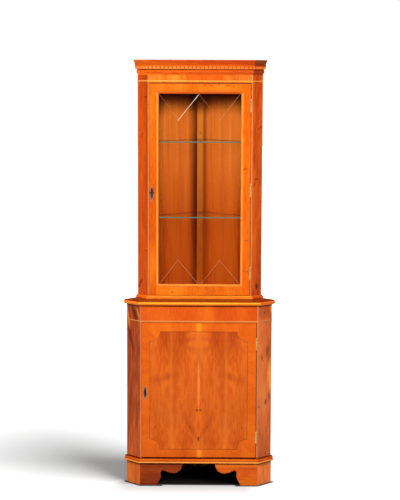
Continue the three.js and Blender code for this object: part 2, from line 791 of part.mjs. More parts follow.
function tube(x, y, radius, low, high, steps) {
  return standing(arcPoints(x, y, radius, radius, 0, 360 - 360 / steps, steps - 1), low, high);
}

function addHinge(name, plan, middle, height) {
  const nibFace = plan.halfFront - nibWidth;
  const doorEdge = nibFace - hingeGap;
  const axisX = nibFace - hingeGap / 2;
  const axisY = plan.front - knuckleRadius;
  const low = middle - height / 2;
  const step = height / knuckleCount;
  const knuckles = (first, x0, x1) => {
    const made = [];
    for (let i = first; i < knuckleCount; i += 2) {
      const z0 = low + i * step + (i ? mitreGap : 0);
      const z1 = low + (i + 1) * step - (i < knuckleCount - 1 ? mitreGap : 0);
      made.push(tube(axisX, axisY, knuckleRadius, z0, z1, 16));
      made.push(block(x0, x1, axisY + pinRadius + seatGap, plan.front + leafStart + leafThickness, z0, z1));
    }
    return made;
  };
  const leaf = (x0, x1) => block(x0, x1, plan.front + leafStart, plan.front + leafDepth, low, low + height);
  const frameX = [nibFace - leafThickness, nibFace];
  const doorX = [doorEdge, doorEdge + leafThickness];
  const pin = tube(axisX, axisY, pinRadius, low - finialHeight, low + height + finialHeight, 12);
  const finials = [
    tube(axisX, axisY, finialRadius, low - finialHeight, low, 12),
    tube(axisX, axisY, finialRadius, low + height, low + height + finialHeight, 12),
  ];
  const bore = tube(axisX, axisY, pinRadius + seatGap, low - cutOverrun, low + height + cutOverrun, 12);
  add(`${name}_frame_leaf`, join([leaf(...frameX), ...knuckles(0, ...frameX), pin, ...finials]), brass);
  const doorLeaf = join([leaf(...doorX), ...knuckles(1, ...doorX)]);
  add(`${name}_door_leaf`, cut(doorLeaf, [bore]), brass);
}

function addHinges() {
  upperHingeShares.forEach((share, i) => {
    const middle = upperDoorLow + upperDoorHeight * share;
    addHinge(`upper_hinge_${['low', 'middle', 'high'][i]}`, upper, middle, upperHingeHeight);
  });
  lowerHingeShares.forEach((share, i) => {
    const middle = lowerDoorLow + lowerDoorHeight * share;
    addHinge(`lower_hinge_${['low', 'high'][i]}`, lower, middle, lowerHingeHeight);
  });
}

addFeet(lower);
addBaseMoulding(lower);
addSides('lower', lower, baseTop, lowerTop, lowerLock, yewSide);
addLowerBacks(lower);
addCornerPost('lower', lower, baseTop, lowerTop);
addLedge();
addUpperPlinth();
addSides('upper', upper, plinthTop, upperTop, upperLock, yewSide);
addUpperBacks(upper);
addCornerPost('upper', upper, plinthTop, topLow);
addCarcaseBoards();
addCornice(upper);
Object.entries(glassShelfLevels).forEach(([word, rise]) => addGlassShelf(word, rise));
addGlazedDoor();
addLowerDoor();
addLock('upper', upperLock);
addLock('lower', lowerLock);
addEscutcheon('upper', upperLock, upperEscutcheonHeight, upperEscutcheonDrop);
addEscutcheon('lower', lowerLock, lowerEscutcheonHeight, lowerEscutcheonDrop);
addKey(upperLock);
addHinges();

// The origin lies under the middle of the depth, from the nose of the ledge to the back corner
assembly.position.y = -(lower.corner - Math.max(ledgeProjection, baseProjection)) / 2;

export default cupboard;
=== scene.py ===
# Corner cupboard in polished yew: a glazed display case over a cupboard base. Blender 4.5.
import math
from functools import partial
import bpy
from mathutils import Matrix, Vector


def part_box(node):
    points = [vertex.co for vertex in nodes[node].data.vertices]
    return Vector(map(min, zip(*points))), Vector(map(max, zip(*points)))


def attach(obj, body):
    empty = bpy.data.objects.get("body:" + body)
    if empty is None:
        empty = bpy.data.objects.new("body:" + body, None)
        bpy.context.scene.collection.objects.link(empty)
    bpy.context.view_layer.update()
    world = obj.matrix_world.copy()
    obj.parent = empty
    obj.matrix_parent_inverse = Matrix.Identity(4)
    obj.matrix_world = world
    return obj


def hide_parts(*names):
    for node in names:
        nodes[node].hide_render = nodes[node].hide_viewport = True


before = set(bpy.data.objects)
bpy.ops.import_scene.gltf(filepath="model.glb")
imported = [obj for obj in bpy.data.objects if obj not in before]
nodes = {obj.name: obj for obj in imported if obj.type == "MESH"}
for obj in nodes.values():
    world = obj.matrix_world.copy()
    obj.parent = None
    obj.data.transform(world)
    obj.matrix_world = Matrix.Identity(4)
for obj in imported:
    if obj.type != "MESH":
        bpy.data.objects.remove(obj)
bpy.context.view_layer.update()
mm = 0.001
diagonal = math.sqrt(0.5)
mitreAngle = math.pi / 8


def place(x, y, z):
    # Millimetres to the scene's metres
    return Vector((x, y, z)) * mm


def turned(angle, axis):
    return Matrix.Rotation(math.radians(angle), 4, axis)


# Camera, where the photograph was taken from
cameraView = {
    "place": (0.0389, -6.4649, 1.7835), "film": 36, "lens": 106.53, "turn": 0.3365, "tilt": 6.8138,
    "roll": 0.2287,
}


def addCamera(view):
    data = bpy.data.cameras.new("camera")
    data.sensor_width, data.lens = view["film"], view["lens"]
    camera = bpy.data.objects.new("camera", data)
    bpy.context.scene.collection.objects.link(camera)
    camera.matrix_world = (Matrix.Translation(view["place"]) @ turned(view["turn"], "Z")
                           @ turned(90 - view["tilt"], "X") @ turned(view["roll"], "Z"))
    bpy.context.scene.camera = camera


addCamera(cameraView)
print("camera placed")


# Materials. One small function adds a node: values are its first sockets in order, or a dictionary of named
# ones, each a number or what feeds it, and settings are its properties.
def addNode(tree, kind, *values, **settings):
    node = tree.nodes.new("ShaderNode" + kind)
    for key, value in settings.items():
        setattr(node, key, value)
    for index, given in enumerate(values):
        for key, value in (given if isinstance(given, dict) else {index: given}).items():
            value = value.outputs[0] if isinstance(value, bpy.types.Node) else value
            if isinstance(value, bpy.types.NodeSocket):
                tree.links.new(value, node.inputs[key])
            else:
                node.inputs[key].default_value = value
    return node


def linear(code):
    # sRGB hex to the linear colour that the shader wants
    parts = [int(code[i:i + 2], 16) / 255 for i in (1, 3, 5)]
    return [c / 12.92 if c <= 0.04045 else ((c + 0.055) / 1.055) ** 2.4 for c in parts] + [1]


def newMaterial(name):
    material = bpy.data.materials.new(name)
    material.use_nodes = True
    material.node_tree.nodes.clear()
    return material, partial(addNode, material.node_tree)


def setRamp(node, *stops):
    for element, (position, colour) in zip(node.color_ramp.elements, stops):
        element.position, element.color = position, linear(colour)
    for position, colour in stops[2:]:
        node.color_ramp.elements.new(position).color = linear(colour)
    return node


# Polished yew veneer: orange heartwood in soft clouds and fine irregular rings along the grain, with darker
# reddish flames, paler sapwood, and small dark knots that push the rings aside, under a thin lacquer.
# Lengths are millimetres, and the rest are shares.
woodLook = {
    "turn": 0, "grain": "up", "mirror": None, "leaf": None, "seed": 0, "ring": 9, "wander": 26, "patch": 90,
    "reach": 7, "contrast": 1, "flame": 0, "flameColour": "#7c2408", "marks": (), "rough": 0.34, "gloss": 0.1,
}
lacquer = {"IOR": 1.5, "Coat Weight": 0.04, "Coat Roughness": 0.12, "Coat IOR": 1.5}
seedStep = (0.37, 0.11, 0.23)


def mark(u, v, halfWidth, halfHeight, colour, strength=1, soft=0.6, ragged=0.5, tilt=0, bend=0, bulge=0):
    # A mark in the veneer: its place along the surface and up, and half its width and height, in millimetres
    return {"at": (u, v, halfWidth, halfHeight), "colour": colour, "strength": strength, "soft": soft,
            "ragged": ragged, "tilt": tilt, "bend": bend, "bulge": bulge}


def markSpot(add, flat, ragged, look):
    u, v, halfWidth, halfHeight = [value * mm for value in look["at"]]
    local = add("Mapping", {"Vector": flat, "Location": (u, v, 0),
                            "Rotation": (0, 0, math.radians(look["tilt"])),
                            "Scale": (halfWidth, halfHeight, 1)}, vector_type="TEXTURE")
    if look["bend"]:
        # The mark's two ends swing sideways by "bend" times its half width
        aside, up, _ = add("SeparateXYZ", local).outputs
        square = add("Math", up, up, operation="MULTIPLY")
        local = add("CombineXYZ", add("Math", square, -look["bend"], aside, operation="MULTIPLY_ADD"), up)
    away = add("VectorMath", local, operation="LENGTH").outputs["Value"]
    uneven = add("Math", ragged, look["ragged"], away, operation="MULTIPLY_ADD")
    edge = 1 + look["ragged"] / 2
    return add("MapRange", {"Value": uneven, "From Min": edge - look["soft"],
                            "From Max": edge + look["soft"] / 2,
                            "To Min": look["strength"], "To Max": 0}, interpolation_type="SMOOTHSTEP")


def woodMaterial(name, tones, **changes):
    look = {**woodLook, **changes}
    material, add = newMaterial(name)
    turn = (0, 0, math.radians(look["turn"]))
    x, depth, z = add("SeparateXYZ", add("Mapping", {
        "Vector": add("TexCoord").outputs["Object"], "Rotation": turn})).outputs
    across, along = (x, z) if look["grain"] == "up" else (z, x)
    if look["mirror"] is not None:
        across = add("Math", add("Math", across, look["mirror"], operation="SUBTRACT"), operation="ABSOLUTE")
    flat = add("CombineXYZ", across, along)
    if look["leaf"]:
        across = add("Math", across, look["leaf"], operation="PINGPONG")
    shortened = add("Math", along, 1 / look["reach"], operation="MULTIPLY")
    seeded = add("VectorMath", add("CombineXYZ", across, depth, shortened),
                 [look["seed"] * step for step in seedStep], operation="ADD")

    # The grain wanders across by up to "wander" millimetres, and each knot pushes it further
    wander = add("TexNoise", {"Vector": seeded, "Scale": 1300 / look["patch"], "Detail": 2})
    drift = add("Math", wander, look["wander"] * mm, across, operation="MULTIPLY_ADD")
    ragged = add("TexNoise", {"Vector": flat, "Scale": 70, "Detail": 2})
    spots = [markSpot(add, flat, ragged, spot) for spot in look["marks"]]
    for spot, stain in zip(spots, look["marks"]):
        if stain["bulge"]:
            drift = add("Math", spot, stain["bulge"] * mm, drift, operation="MULTIPLY_ADD")
    bent = add("CombineXYZ", drift, depth, shortened)
    clouds = add("TexNoise", {"Vector": bent, "Scale": 1000 / look["patch"], "Detail": 2.5})
    streaks = add("TexNoise", {"Vector": bent, "Scale": 1000 / look["ring"], "Detail": 2, "Roughness": 0.45})
    # Pores are about 0.1 mm wide in yew and are drawn ten times as coarse, so that they show at all
    pores = add("TexNoise", {"Vector": bent, "Scale": 900, "Detail": 1})
    # Each share is centred on zero, so that the middle colour stays the mean
    tone = 0.5
    for source, share in ((clouds, 1.1 * look["contrast"]), (streaks, 0.5 * look["contrast"]), (pores, 0.16)):
        tone = add("Math", add("Math", source, share, -share / 2, operation="MULTIPLY_ADD"), tone,
                   operation="ADD")
    colour = setRamp(add("ValToRGB", tone), *zip((0.22, 0.5, 0.78), tones))
    if look["flame"]:
        flames = add("TexNoise", {"Vector": bent, "Scale": 620 / look["patch"], "Detail": 1})
        licks = add("MapRange", {"Value": flames, "From Min": 0.48, "From Max": 0.7, "To Max": look["flame"]},
                    interpolation_type="SMOOTHSTEP")
        colour = add("MixRGB", licks, colour, linear(look["flameColour"]))
    for spot, stain in zip(spots, look["marks"]):
        colour = add("MixRGB", spot, colour, linear(stain["colour"]))
    rough = add("MapRange", {"Value": clouds, "From Min": 0.3, "From Max": 0.7,
                             "To Min": look["rough"] - 0.06, "To Max": look["rough"] + 0.08})
    bump = add("Bump", {"Height": pores, "Strength": 0.12, "Distance": 0.0003})
    add("OutputMaterial", add("BsdfPrincipled", {
        "Base Color": colour, "Roughness": rough, "Normal": bump, "Specular IOR Level": look["gloss"],
        **lacquer}))
    return material


# Cast and turned brass, steel and glass
def metalMaterial(name, bright, dull, rough, speck, metallic=1):
    # Handled metal: the high places stay bright, and the tarnish lies in soft clouds of "speck" millimetres.
    # Where it is lacquered, the clouded film over it scatters part of the light: "metallic" is below one.
    material, add = newMaterial(name)
    spot = add("TexCoord").outputs["Object"]
    clouds = add("TexNoise", {"Vector": spot, "Scale": 1000 / speck, "Detail": 4})
    colour = setRamp(add("ValToRGB", clouds), (0.38, dull), (0.62, bright))
    grit = add("TexNoise", {"Vector": spot, "Scale": 2500, "Detail": 1})
    sheen = add("MapRange", {"Value": clouds, "From Min": 0.35, "From Max": 0.65, "To Min": rough + 0.12,
                             "To Max": rough})
    bump = add("Bump", {"Height": grit, "Strength": 0.1, "Distance": 0.0001})
    add("OutputMaterial", add("BsdfPrincipled", {
        "Base Color": colour, "Roughness": sheen, "Metallic": metallic, "Normal": bump}))
    return material


def glassMaterial(name, tint, opacity, rough):
    # Float glass: clear through its faces, with a faint tint; the smears show only as a change of gloss
    material, add = newMaterial(name)
    smears = add("TexNoise", {"Vector": add("TexCoord").outputs["Object"], "Scale": 9, "Detail": 3})
    sheen = add("MapRange", {"Value": smears, "From Min": 0.35, "From Max": 0.7, "To Min": rough,
                             "To Max": rough + 0.04})
    add("OutputMaterial", add("BsdfPrincipled", {
        "Base Color": linear(tint), "Roughness": sheen, "IOR": 1.45, "Alpha": opacity}))
    return material


# Floor: each shade on it lies inside all its edges, given as where it begins and where it is full
floorLook = {
    "tone": "#d2d2d2", "bounce": "#909090", "nearGlow": 0.1, "glow": 0.6, "glowStart": 700, "glowFull": 2400,
    "shade": "#161514", "shades": [
        # Painted shade: deep under the cupboard, a dark line round the feet, and a faint shade in front
        (1, {"side": (290, 250), "front": (-204, -168), "rear": (232, 192)}),
        (0.95, {"front": (-204, -195), "cant": (461, 452), "side": (336, 326), "arch": (140, 165),
                "rear": (232, 192)}),
        (0.37, {"front": (-400, -180), "left": (-420, -290), "right": (280, 190), "rear": (232, 192)})],
}


def floorMaterial(look):
    # Matt white studio paper. It glows where it is far off, so that no horizon shows, and gives back less
    # light than the eye sees in it, which leaves the undersides dark. Shade is painted into it: deep shade
    # under the cupboard, a thin dark line round the feet, and a faint painted shade in front of them.
    material, add = newMaterial("studioPaper")
    spot = add("TexCoord").outputs["Object"]
    fibres = add("TexNoise", {"Vector": spot, "Scale": 40, "Detail": 2})
    rough = add("MapRange", {"Value": fibres, "To Min": 0.85, "To Max": 0.95})
    x, y, _ = add("SeparateXYZ", spot).outputs
    aside = add("Math", x, operation="ABSOLUTE")
    distances = {"left": x, "right": x, "front": y, "side": aside, "arch": aside,
                 "cant": add("Math", aside, y, operation="SUBTRACT"),
                 "rear": add("Math", y, aside, operation="ADD")}
    under = 0
    for dark, edges in look["shades"]:
        for word, (start, full) in edges.items():
            share = add("MapRange", {"Value": distances[word], "From Min": start * mm, "From Max": full * mm},
                        interpolation_type="SMOOTHSTEP")
            dark = add("Math", share, dark, operation="MULTIPLY")
        under = add("Math", under, dark, operation="MAXIMUM")
    seen = add("LightPath").outputs["Is Camera Ray"]
    paper = add("MixRGB", seen, linear(look["bounce"]), linear(look["tone"]))
    colour = add("MixRGB", under, paper, linear(look["shade"]))
    far = add("VectorMath", spot, operation="LENGTH").outputs["Value"]
    glow = add("MapRange", {"Value": far, "From Min": look["glowStart"] * mm,
                            "From Max": look["glowFull"] * mm,
                            "To Min": look["nearGlow"], "To Max": look["glow"]},
                            interpolation_type="SMOOTHSTEP")
    for share in (seen, add("Math", 1, under, operation="SUBTRACT")):
        glow = add("Math", glow, share, operation="MULTIPLY")
    add("OutputMaterial", add("BsdfPrincipled", {
        "Base Color": colour, "Roughness": rough, "Specular IOR Level": 0.1,
        "Emission Color": (1, 1, 1, 1), "Emission Strength": glow}))
    return material


# Studio: white surroundings and a big soft lamp in front and above for the cupboard, and one from the right
# for the floor, so that the cupboard's shadow falls to the left alone
studio = {
    "white": 1.02, "sky": 0.26, "mirrored": 0.06, "floor": 60,
    "lamp": {"place": (-0.2, -3.3, 2.2), "aim": (0, 0, 1.0), "size": 1.1, "power": 122},
    "top": {"strength": 0.5, "angle": 40, "turn": -10, "height": 50},
    "side": {"strength": 6.8, "angle": 50, "turn": 58, "height": 38},
}


def addLamp(name, kind, **settings):
    data = bpy.data.lights.new(name, kind)
    for key, value in settings.items():
        setattr(data, key, value)
    lamp = bpy.data.objects.new(name, data)
    bpy.context.scene.collection.objects.link(lamp)
    return lamp


def addSun(name, look):
    sun = addLamp(name, "SUN", energy=look["strength"], angle=math.radians(look["angle"]))
    sun.rotation_euler = (math.radians(90 - look["height"]), 0, math.radians(look["turn"]))
    return sun


def addStudio(look):
    scene = bpy.context.scene
    scene.view_settings.view_transform = "Standard"
    scene.world = bpy.data.worlds.new("studio")
    scene.world.use_nodes = True
    scene.world.node_tree.nodes.clear()
    add = partial(addNode, scene.world.node_tree)
    white, sky, mirrored = (add("Background", {"Color": (1, 1, 1, 1), "Strength": look[word]})
                            for word in ("white", "sky", "mirrored"))
    path = add("LightPath").outputs
    lit = add("MixShader", path["Is Glossy Ray"], sky, mirrored)
    add("OutputWorld", add("MixShader", path["Is Camera Ray"], lit, white))
    bpy.ops.mesh.primitive_plane_add(size=look["floor"], location=(0, 0, 0))
    floor = bpy.context.object
    floor.name = "floor"
    floor.data.materials.append(floorMaterial(floorLook))
    soft = look["lamp"]
    lamp = addLamp("frontLamp", "AREA", energy=soft["power"], size=soft["size"])
    lamp.location = soft["place"]
    lamp.rotation_euler = (Vector(soft["place"]) - Vector(soft["aim"])).to_track_quat("Z", "Y").to_euler()
    lamp.visible_camera = lamp.visible_glossy = False
    addSun("topSun", look["top"])
    side = addSun("sideSun", look["side"])
    for word, light, state in (("paperOnly", side, "INCLUDE"), ("allButPaper", lamp, "EXCLUDE")):
        receivers = bpy.data.collections.new(word)
        receivers.objects.link(floor)
        receivers.collection_objects[0].light_linking.link_state = state
        light.light_linking.receiver_collection = receivers


addStudio(studio)
print("studio set up")


# Modelling: each helper works on one piece, as by hand
def setMode(mode):
    bpy.ops.object.mode_set(mode=mode)


def selectNone():
    if bpy.context.object and bpy.context.object.mode != "OBJECT":
        setMode("OBJECT")
    bpy.ops.object.select_all(action="DESELECT")


def selectOnly(piece):
    selectNone()
    piece.select_set(True)
    bpy.context.view_layer.objects.active = piece


def editAll(piece, kind="FACE", action="SELECT"):
    selectOnly(piece)
    setMode("EDIT")
    bpy.ops.mesh.select_mode(type=kind)
    bpy.ops.mesh.select_all(action=action)


def nameLast(name):
    piece = bpy.context.object
    piece.name = piece.data.name = name
    bpy.ops.object.transform_apply(location=True, rotation=True, scale=True)
    return piece


def startBox(name, low, high):
    selectNone()
    bpy.ops.mesh.primitive_cube_add(size=1, location=[(a + b) / 2 for a, b in zip(low, high)])
    bpy.context.object.scale = [b - a for a, b in zip(low, high)]
    return nameLast(name)


def startRod(name, radius, start, end, sides=24):
    # The radius in millimetres, between two places
    selectNone()
    turn = (end - start).to_track_quat("Z", "Y").to_euler()
    bpy.ops.mesh.primitive_cylinder_add(
        vertices=sides, radius=radius * mm, depth=(end - start).length, location=(start + end) / 2,
        rotation=turn)
    return nameLast(name)


def pull(piece, vector):
    # Draws the filled outline out into a solid
    editAll(piece)
    bpy.ops.mesh.extrude_region_move(TRANSFORM_OT_translate={"value": vector})
    bpy.ops.mesh.select_all(action="SELECT")
    bpy.ops.mesh.normals_make_consistent(inside=False)
    setMode("OBJECT")
    return piece


weld = 0.01 * mm


def drawOutline(name, points):
    # A plane drawn together into one corner, which is pulled from point to point, closed and filled
    selectNone()
    bpy.ops.mesh.primitive_plane_add(size=mm, location=points[0])
    piece = nameLast(name)
    editAll(piece, "VERT")
    bpy.ops.mesh.merge(type="CENTER")
    for start, end in zip(points, points[1:] + points[:1]):
        bpy.ops.mesh.extrude_region_move(TRANSFORM_OT_translate={"value": end - start})
    bpy.ops.mesh.select_all(action="SELECT")
    bpy.ops.mesh.remove_doubles(threshold=weld)
    bpy.ops.mesh.edge_face_add()
    setMode("OBJECT")
    return piece


def trim(piece, point, normal):
    # Saws off what lies beyond a plane and closes the cut
    editAll(piece)
    bpy.ops.mesh.bisect(plane_co=point, plane_no=normal, use_fill=True, clear_outer=True)
    setMode("OBJECT")
    return piece


def applyModifier(piece, kind, **settings):
    selectOnly(piece)
    bpy.ops.object.modifier_add(type=kind)
    modifier = piece.modifiers[-1]
    for key, value in settings.items():
        setattr(modifier, key, value)
    bpy.ops.object.modifier_apply(modifier=modifier.name)


def smooth(piece, angle=32):
    selectOnly(piece)
    bpy.ops.object.shade_smooth_by_angle(angle=math.radians(angle))
    applyModifier(piece, "WEIGHTED_NORMAL", keep_sharp=True)
    return piece


def ease(piece, width, segments=2, angle=35):
    # Takes the sharpness off every edge by a width in millimetres, as sandpaper and lacquer do
    applyModifier(piece, "BEVEL", width=width * mm, segments=segments, limit_method="ANGLE",
                  angle_limit=math.radians(angle), miter_outer="MITER_ARC")
    return smooth(piece)


def cutAway(piece, *tools):
    for tool in tools:
        applyModifier(piece, "BOOLEAN", operation="DIFFERENCE", solver="EXACT", object=tool)
        bpy.data.objects.remove(tool)
    return piece


def joinAll(name, pieces):
    selectOnly(pieces[0])
    for piece in pieces:
        piece.select_set(True)
    bpy.ops.object.join()
    pieces[0].name = pieces[0].data.name = name
    return pieces[0]


def copyPiece(piece, name, matrix):
    copy = piece.copy()
    copy.data = piece.data.copy()
    copy.name = copy.data.name = name
    copy.hide_viewport = copy.hide_render = False
    bpy.context.scene.collection.objects.link(copy)
    copy.data.transform(matrix)
    return copy


def mergedCopy(node, name):
    # The model's mesh is loose triangles: its copy is merged, and its flat faces become whole again
    piece = copyPiece(nodes[node], name, Matrix.Identity(4))
    piece.parent = None
    for key in list(piece.keys()):
        del piece[key]
    editAll(piece, "VERT")
    bpy.ops.mesh.remove_doubles(threshold=weld)
    bpy.ops.mesh.dissolve_limited(angle_limit=math.radians(0.5))
    setMode("OBJECT")
    return piece


def fit(piece, body, slot, materials, *replaced):
    # Gives a finished piece its material, its place among the moving bodies and the node that it stands for
    materials = materials if isinstance(materials, (list, tuple)) else [materials]
    indices = [face.material_index for face in piece.data.polygons]
    piece.data.materials.clear()
    for material in materials:
        piece.data.materials.append(material)
    for face, index in zip(piece.data.polygons, indices):
        face.material_index = min(index, len(materials) - 1)
    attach(piece, body)
    if replaced:
        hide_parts(*replaced)
    return piece


def paintFaces(piece, index, test):
    for face in piece.data.polygons:
        if test(face.center, face.normal):
            face.material_index = index


def easedNode(node, body, slot, material, width=0.8, segments=2):
    return fit(ease(mergedCopy(node, node + "_eased"), width, segments), body, slot, material, node)


def boxOf(node):
    return (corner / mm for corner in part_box(node))


def arc(centre, radii, start, end, steps):
    turns = [math.radians(start + (end - start) * i / steps) for i in range(steps + 1)]
    return [(centre[0] + radii[0] * math.cos(t), centre[1] + radii[1] * math.sin(t)) for t in turns]


def curve(start, middle, end, steps=9):
    # A curve pulled towards its middle point, without its first point
    spots = [i / steps for i in range(1, steps + 1)]
    return [tuple(a * (1 - t) ** 2 + 2 * b * t * (1 - t) + c * t * t for a, b, c in zip(start, middle, end))
            for t in spots]


# Plans of the two stages, from the model's parts: half the front, the front plane, and how far the canted
# side reaches back
nibWidth = 5 * mm
sideWords = {"left": -1, "right": 1}


def stagePlan(stage):
    low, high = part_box(f"{stage}_frieze")
    half = high.x + nibWidth
    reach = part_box(f"{stage}_right_back")[1].x - half
    return {"half": half, "front": low.y, "reach": reach, "corner": low.y + half + reach * 2}


plans = {stage: stagePlan(stage) for stage in ("lower", "upper")}
lower, upper = plans.values()
lowerFront, upperFront = lower["front"] / mm, upper["front"] / mm


def alongSide(side):
    return Vector((side * diagonal, diagonal, 0))


def outOfSide(side):
    return Vector((side * diagonal, -diagonal, 0))


def mitreNormal(side):
    return Vector((side * math.cos(mitreAngle), math.sin(mitreAngle), 0))


def arrisPoint(plan, side, out):
    return Vector((side * (plan["half"] + out * math.tan(mitreAngle)), plan["front"] - out, 0))


def wallPoint(plan, side, out):
    reach = plan["reach"]
    return Vector((side * (plan["half"] + reach + out * diagonal), plan["front"] + reach - out * diagonal, 0))


def mouldedRun(name, plan, profile, side):
    # A profile of (projection, height) in millimetres, drawn along the front (side 0) or a canted return, and
    # mitred on the arris, a hairline short of it
    profile = [(out * mm, z * mm) for out, z in profile]
    hairline, spare = 0.1 * mm, 60 * mm
    if side == 0:
        length = 2 * (plan["half"] + spare)
        points = [Vector((-length / 2, plan["front"] - out, z)) for out, z in profile]
        piece = pull(drawOutline(name, points), Vector((length, 0, 0)))
        for end in sideWords.values():
            trim(piece, arrisPoint(plan, end, 0) - Vector((end * hairline, 0, 0)), mitreNormal(end))
        return piece
    start, along = arrisPoint(plan, side, 0), alongSide(side)
    points = [start - along * spare + outOfSide(side) * out + Vector((0, 0, z)) for out, z in profile]
    piece = pull(drawOutline(name, points), along * (spare + plan["reach"] / diagonal))
    return trim(piece, start + along * hairline, -mitreNormal(side))


def moulding(name, plan, profile, materials, nodeNames, width=0.4, paint=None):
    # The front length and both returns of one moulding; materials and nodeNames are for front, left and right
    for word, side in {"front": 0, **sideWords}.items():
        piece = mouldedRun(f"{name}_{word}", plan, profile, side)
        ease(piece, width, 2, 40)
        if paint:
            paint(piece)
        fit(piece, "case", "yew_moulding", materials[word], *nodeNames.get(word, ()))


# Plain woods and the mouldings' woods: the tones are for dark, middle and light
bareBoard = woodMaterial("sawnPineBoard", ("#8a5a35", "#a97848", "#c0935f"), ring=5, wander=14, patch=60,
                         reach=9, rough=0.6, gloss=0.15)
shelfBoard = woodMaterial("sawnPineShelf", ("#8f6038", "#a97848", "#bc8c58"), grain="across", ring=6,
                          wander=12, patch=80, reach=12, contrast=0.8, rough=0.6, gloss=0.15, seed=6)
mouldingLook = {"grain": "across", "ring": 5, "wander": 9, "patch": 70, "reach": 12}
mouldingTurns = {"front": 0, "left": 45, "right": -45}
# Tones for the front, left and right lengths: lit and shaded copies of one wood, painted lighter on the left
# return and darker on the right, most of all on the cornice and crown
mouldingTones = {
    "cornice": [("#b33e0a", "#d7590f", "#ec761e"), ("#e05102", "#ff6f04", "#ff8e08"),
                ("#8d2e07", "#b34209", "#d1570c")],
    # The crown's tones are darker than the cornice's: painted shade in its cove
    "crown": [("#9c2f04", "#ba4006", "#d05d0e"), ("#bc4804", "#dc6008", "#ec780f"),
              ("#702808", "#90380c", "#a84810")],
    "waist": [("#ba510d", "#df7415", "#f3952b"), ("#cf4d09", "#f76a0d", "#ff8e20"),
              ("#b84008", "#da580c", "#f4741a")],
    "base": [("#ac440b", "#d2610f", "#e88020"), ("#b84608", "#e4600c", "#fa8020"),
             ("#b04208", "#d8590c", "#f0751c")],
}


def mouldingSet(name, marks=(), frontMarks=(), cantMarks=()):
    # The same wood along the front and both canted returns, each with its grain along its own length and
    # its own tones, which carry painted light and shade
    extra = {"front": frontMarks, "left": cantMarks, "right": cantMarks}
    return {word: woodMaterial(f"polishedYew_{name}_{word}", tones, marks=[*marks, *extra[word]],
                               turn=mouldingTurns[word], **mouldingLook)
            for word, tones in zip(mouldingTurns, mouldingTones[name])}


def shadeAndHighlightLine(height, half, colour, strength=1):
    # A line of colour at a height along a moulding: the dark ones are painted shade in hollows and under
    # edges, and the light ones on the ledge's nose and the base's bead are painted highlights; where the
    # grain runs across, height comes first
    return mark(height, 0, half, 900, colour, strength, 0.6, 0)


def shadowLine(height, half, colour, strength=1, soft=0.6):
    # The same where the grain stands upright
    return mark(0, height, 400, half, colour, strength, soft, 0)


corniceWoods, crownWoodsInShade = mouldingSet("cornice"), mouldingSet("crown")
# Painted shade on the plinth's bead and along the ledge's top edge; on the front, painted shade low on the
# ledge's nose and a painted highlight along its top; a light line low on the canted returns
waistWoods = mouldingSet("waist", [shadeAndHighlightLine(819.5, 1.6, "#d04c08", 0.7), shadeAndHighlightLine(810, 2, "#7c2408")],
                         [shadeAndHighlightLine(794, 3.5, "#b8440c", 0.8), shadeAndHighlightLine(804.5, 3, "#f4ac28", 0.7)],
                         [shadeAndHighlightLine(795, 2.4, "#f09858", 0.6)])
# Painted shade above the base moulding and in its groove, a painted highlight on its bead, and a painted
# shadow under it
baseWoods = mouldingSet("base", [shadeAndHighlightLine(120.6, 2.4, "#681404"), shadeAndHighlightLine(110.5, 2, "#b43c06", 0.8),
                                 shadeAndHighlightLine(104.5, 2.6, "#ffb050", 0.7), shadeAndHighlightLine(99.5, 1.6, "#200a04")])
dentilWood = woodMaterial("polishedYewDentils", ("#cc581a", "#f07c30", "#fa9446"), **mouldingLook)
# Painted shade in the recess behind and under the dentils
recessShadeWood = woodMaterial("paintedShadeInTheRecess", ("#a84410", "#c45812", "#d06818"),
                          marks=[shadeAndHighlightLine(1798, 2.6, "#5c1804")], **mouldingLook)
# The ledge's top, painted darker as the shade and dark reflection that lie on it under the display case
ledgeTopShadeWood = woodMaterial("polishedYewLedgeTopInShade", ("#802808", "#a03a0c", "#b84e14"), **mouldingLook)

# Cornice: a small cove and a round at its foot, a row of dentils, a bead, and the crown's cove under a
# square top
cornice = {
    "low": 1775, "cove": (4, 9), "roundOut": 4.5, "round": (2.6, 13), "bandOut": 5.5,
    "dentilLow": 1801, "dentilHigh": 1812, "dentilOut": 14.5, "dentilPitch": 16.8, "dentilSlot": 5.5,
    "beadOut": 14.5, "bead": (3, 6), "crownOut": 16, "crownPull": (18.5, 1828), "crownTop": (23.5, 1836),
    "fillet": 1, "top": 1840, "easing": 0.5, "inset": 1,
}


def corniceProfile(look):
    roundLow = look["low"] + look["cove"][1]
    roundWide, roundHigh = look["round"]
    beadWide, beadHigh = look["bead"]
    crownStart = (look["crownOut"], look["dentilHigh"] + beadHigh)
    filletOut = look["crownTop"][0] + look["fillet"]
    return [
        (-look["inset"], look["top"]), (-look["inset"], look["low"]),
        *arc((look["cove"][0], look["low"]), look["cove"], 178, 90, 7),
        *arc((look["roundOut"], roundLow + roundHigh / 2), (roundWide, roundHigh / 2), -90, 90, 10),
        (look["bandOut"], look["dentilHigh"]),
        *arc((look["beadOut"], look["dentilHigh"] + beadHigh / 2), (beadWide, beadHigh / 2), -90, 90, 10),
        crownStart, *curve(crownStart, look["crownPull"], look["crownTop"]),
        (filletOut, look["crownTop"][1]), (filletOut, look["top"]),
    ]


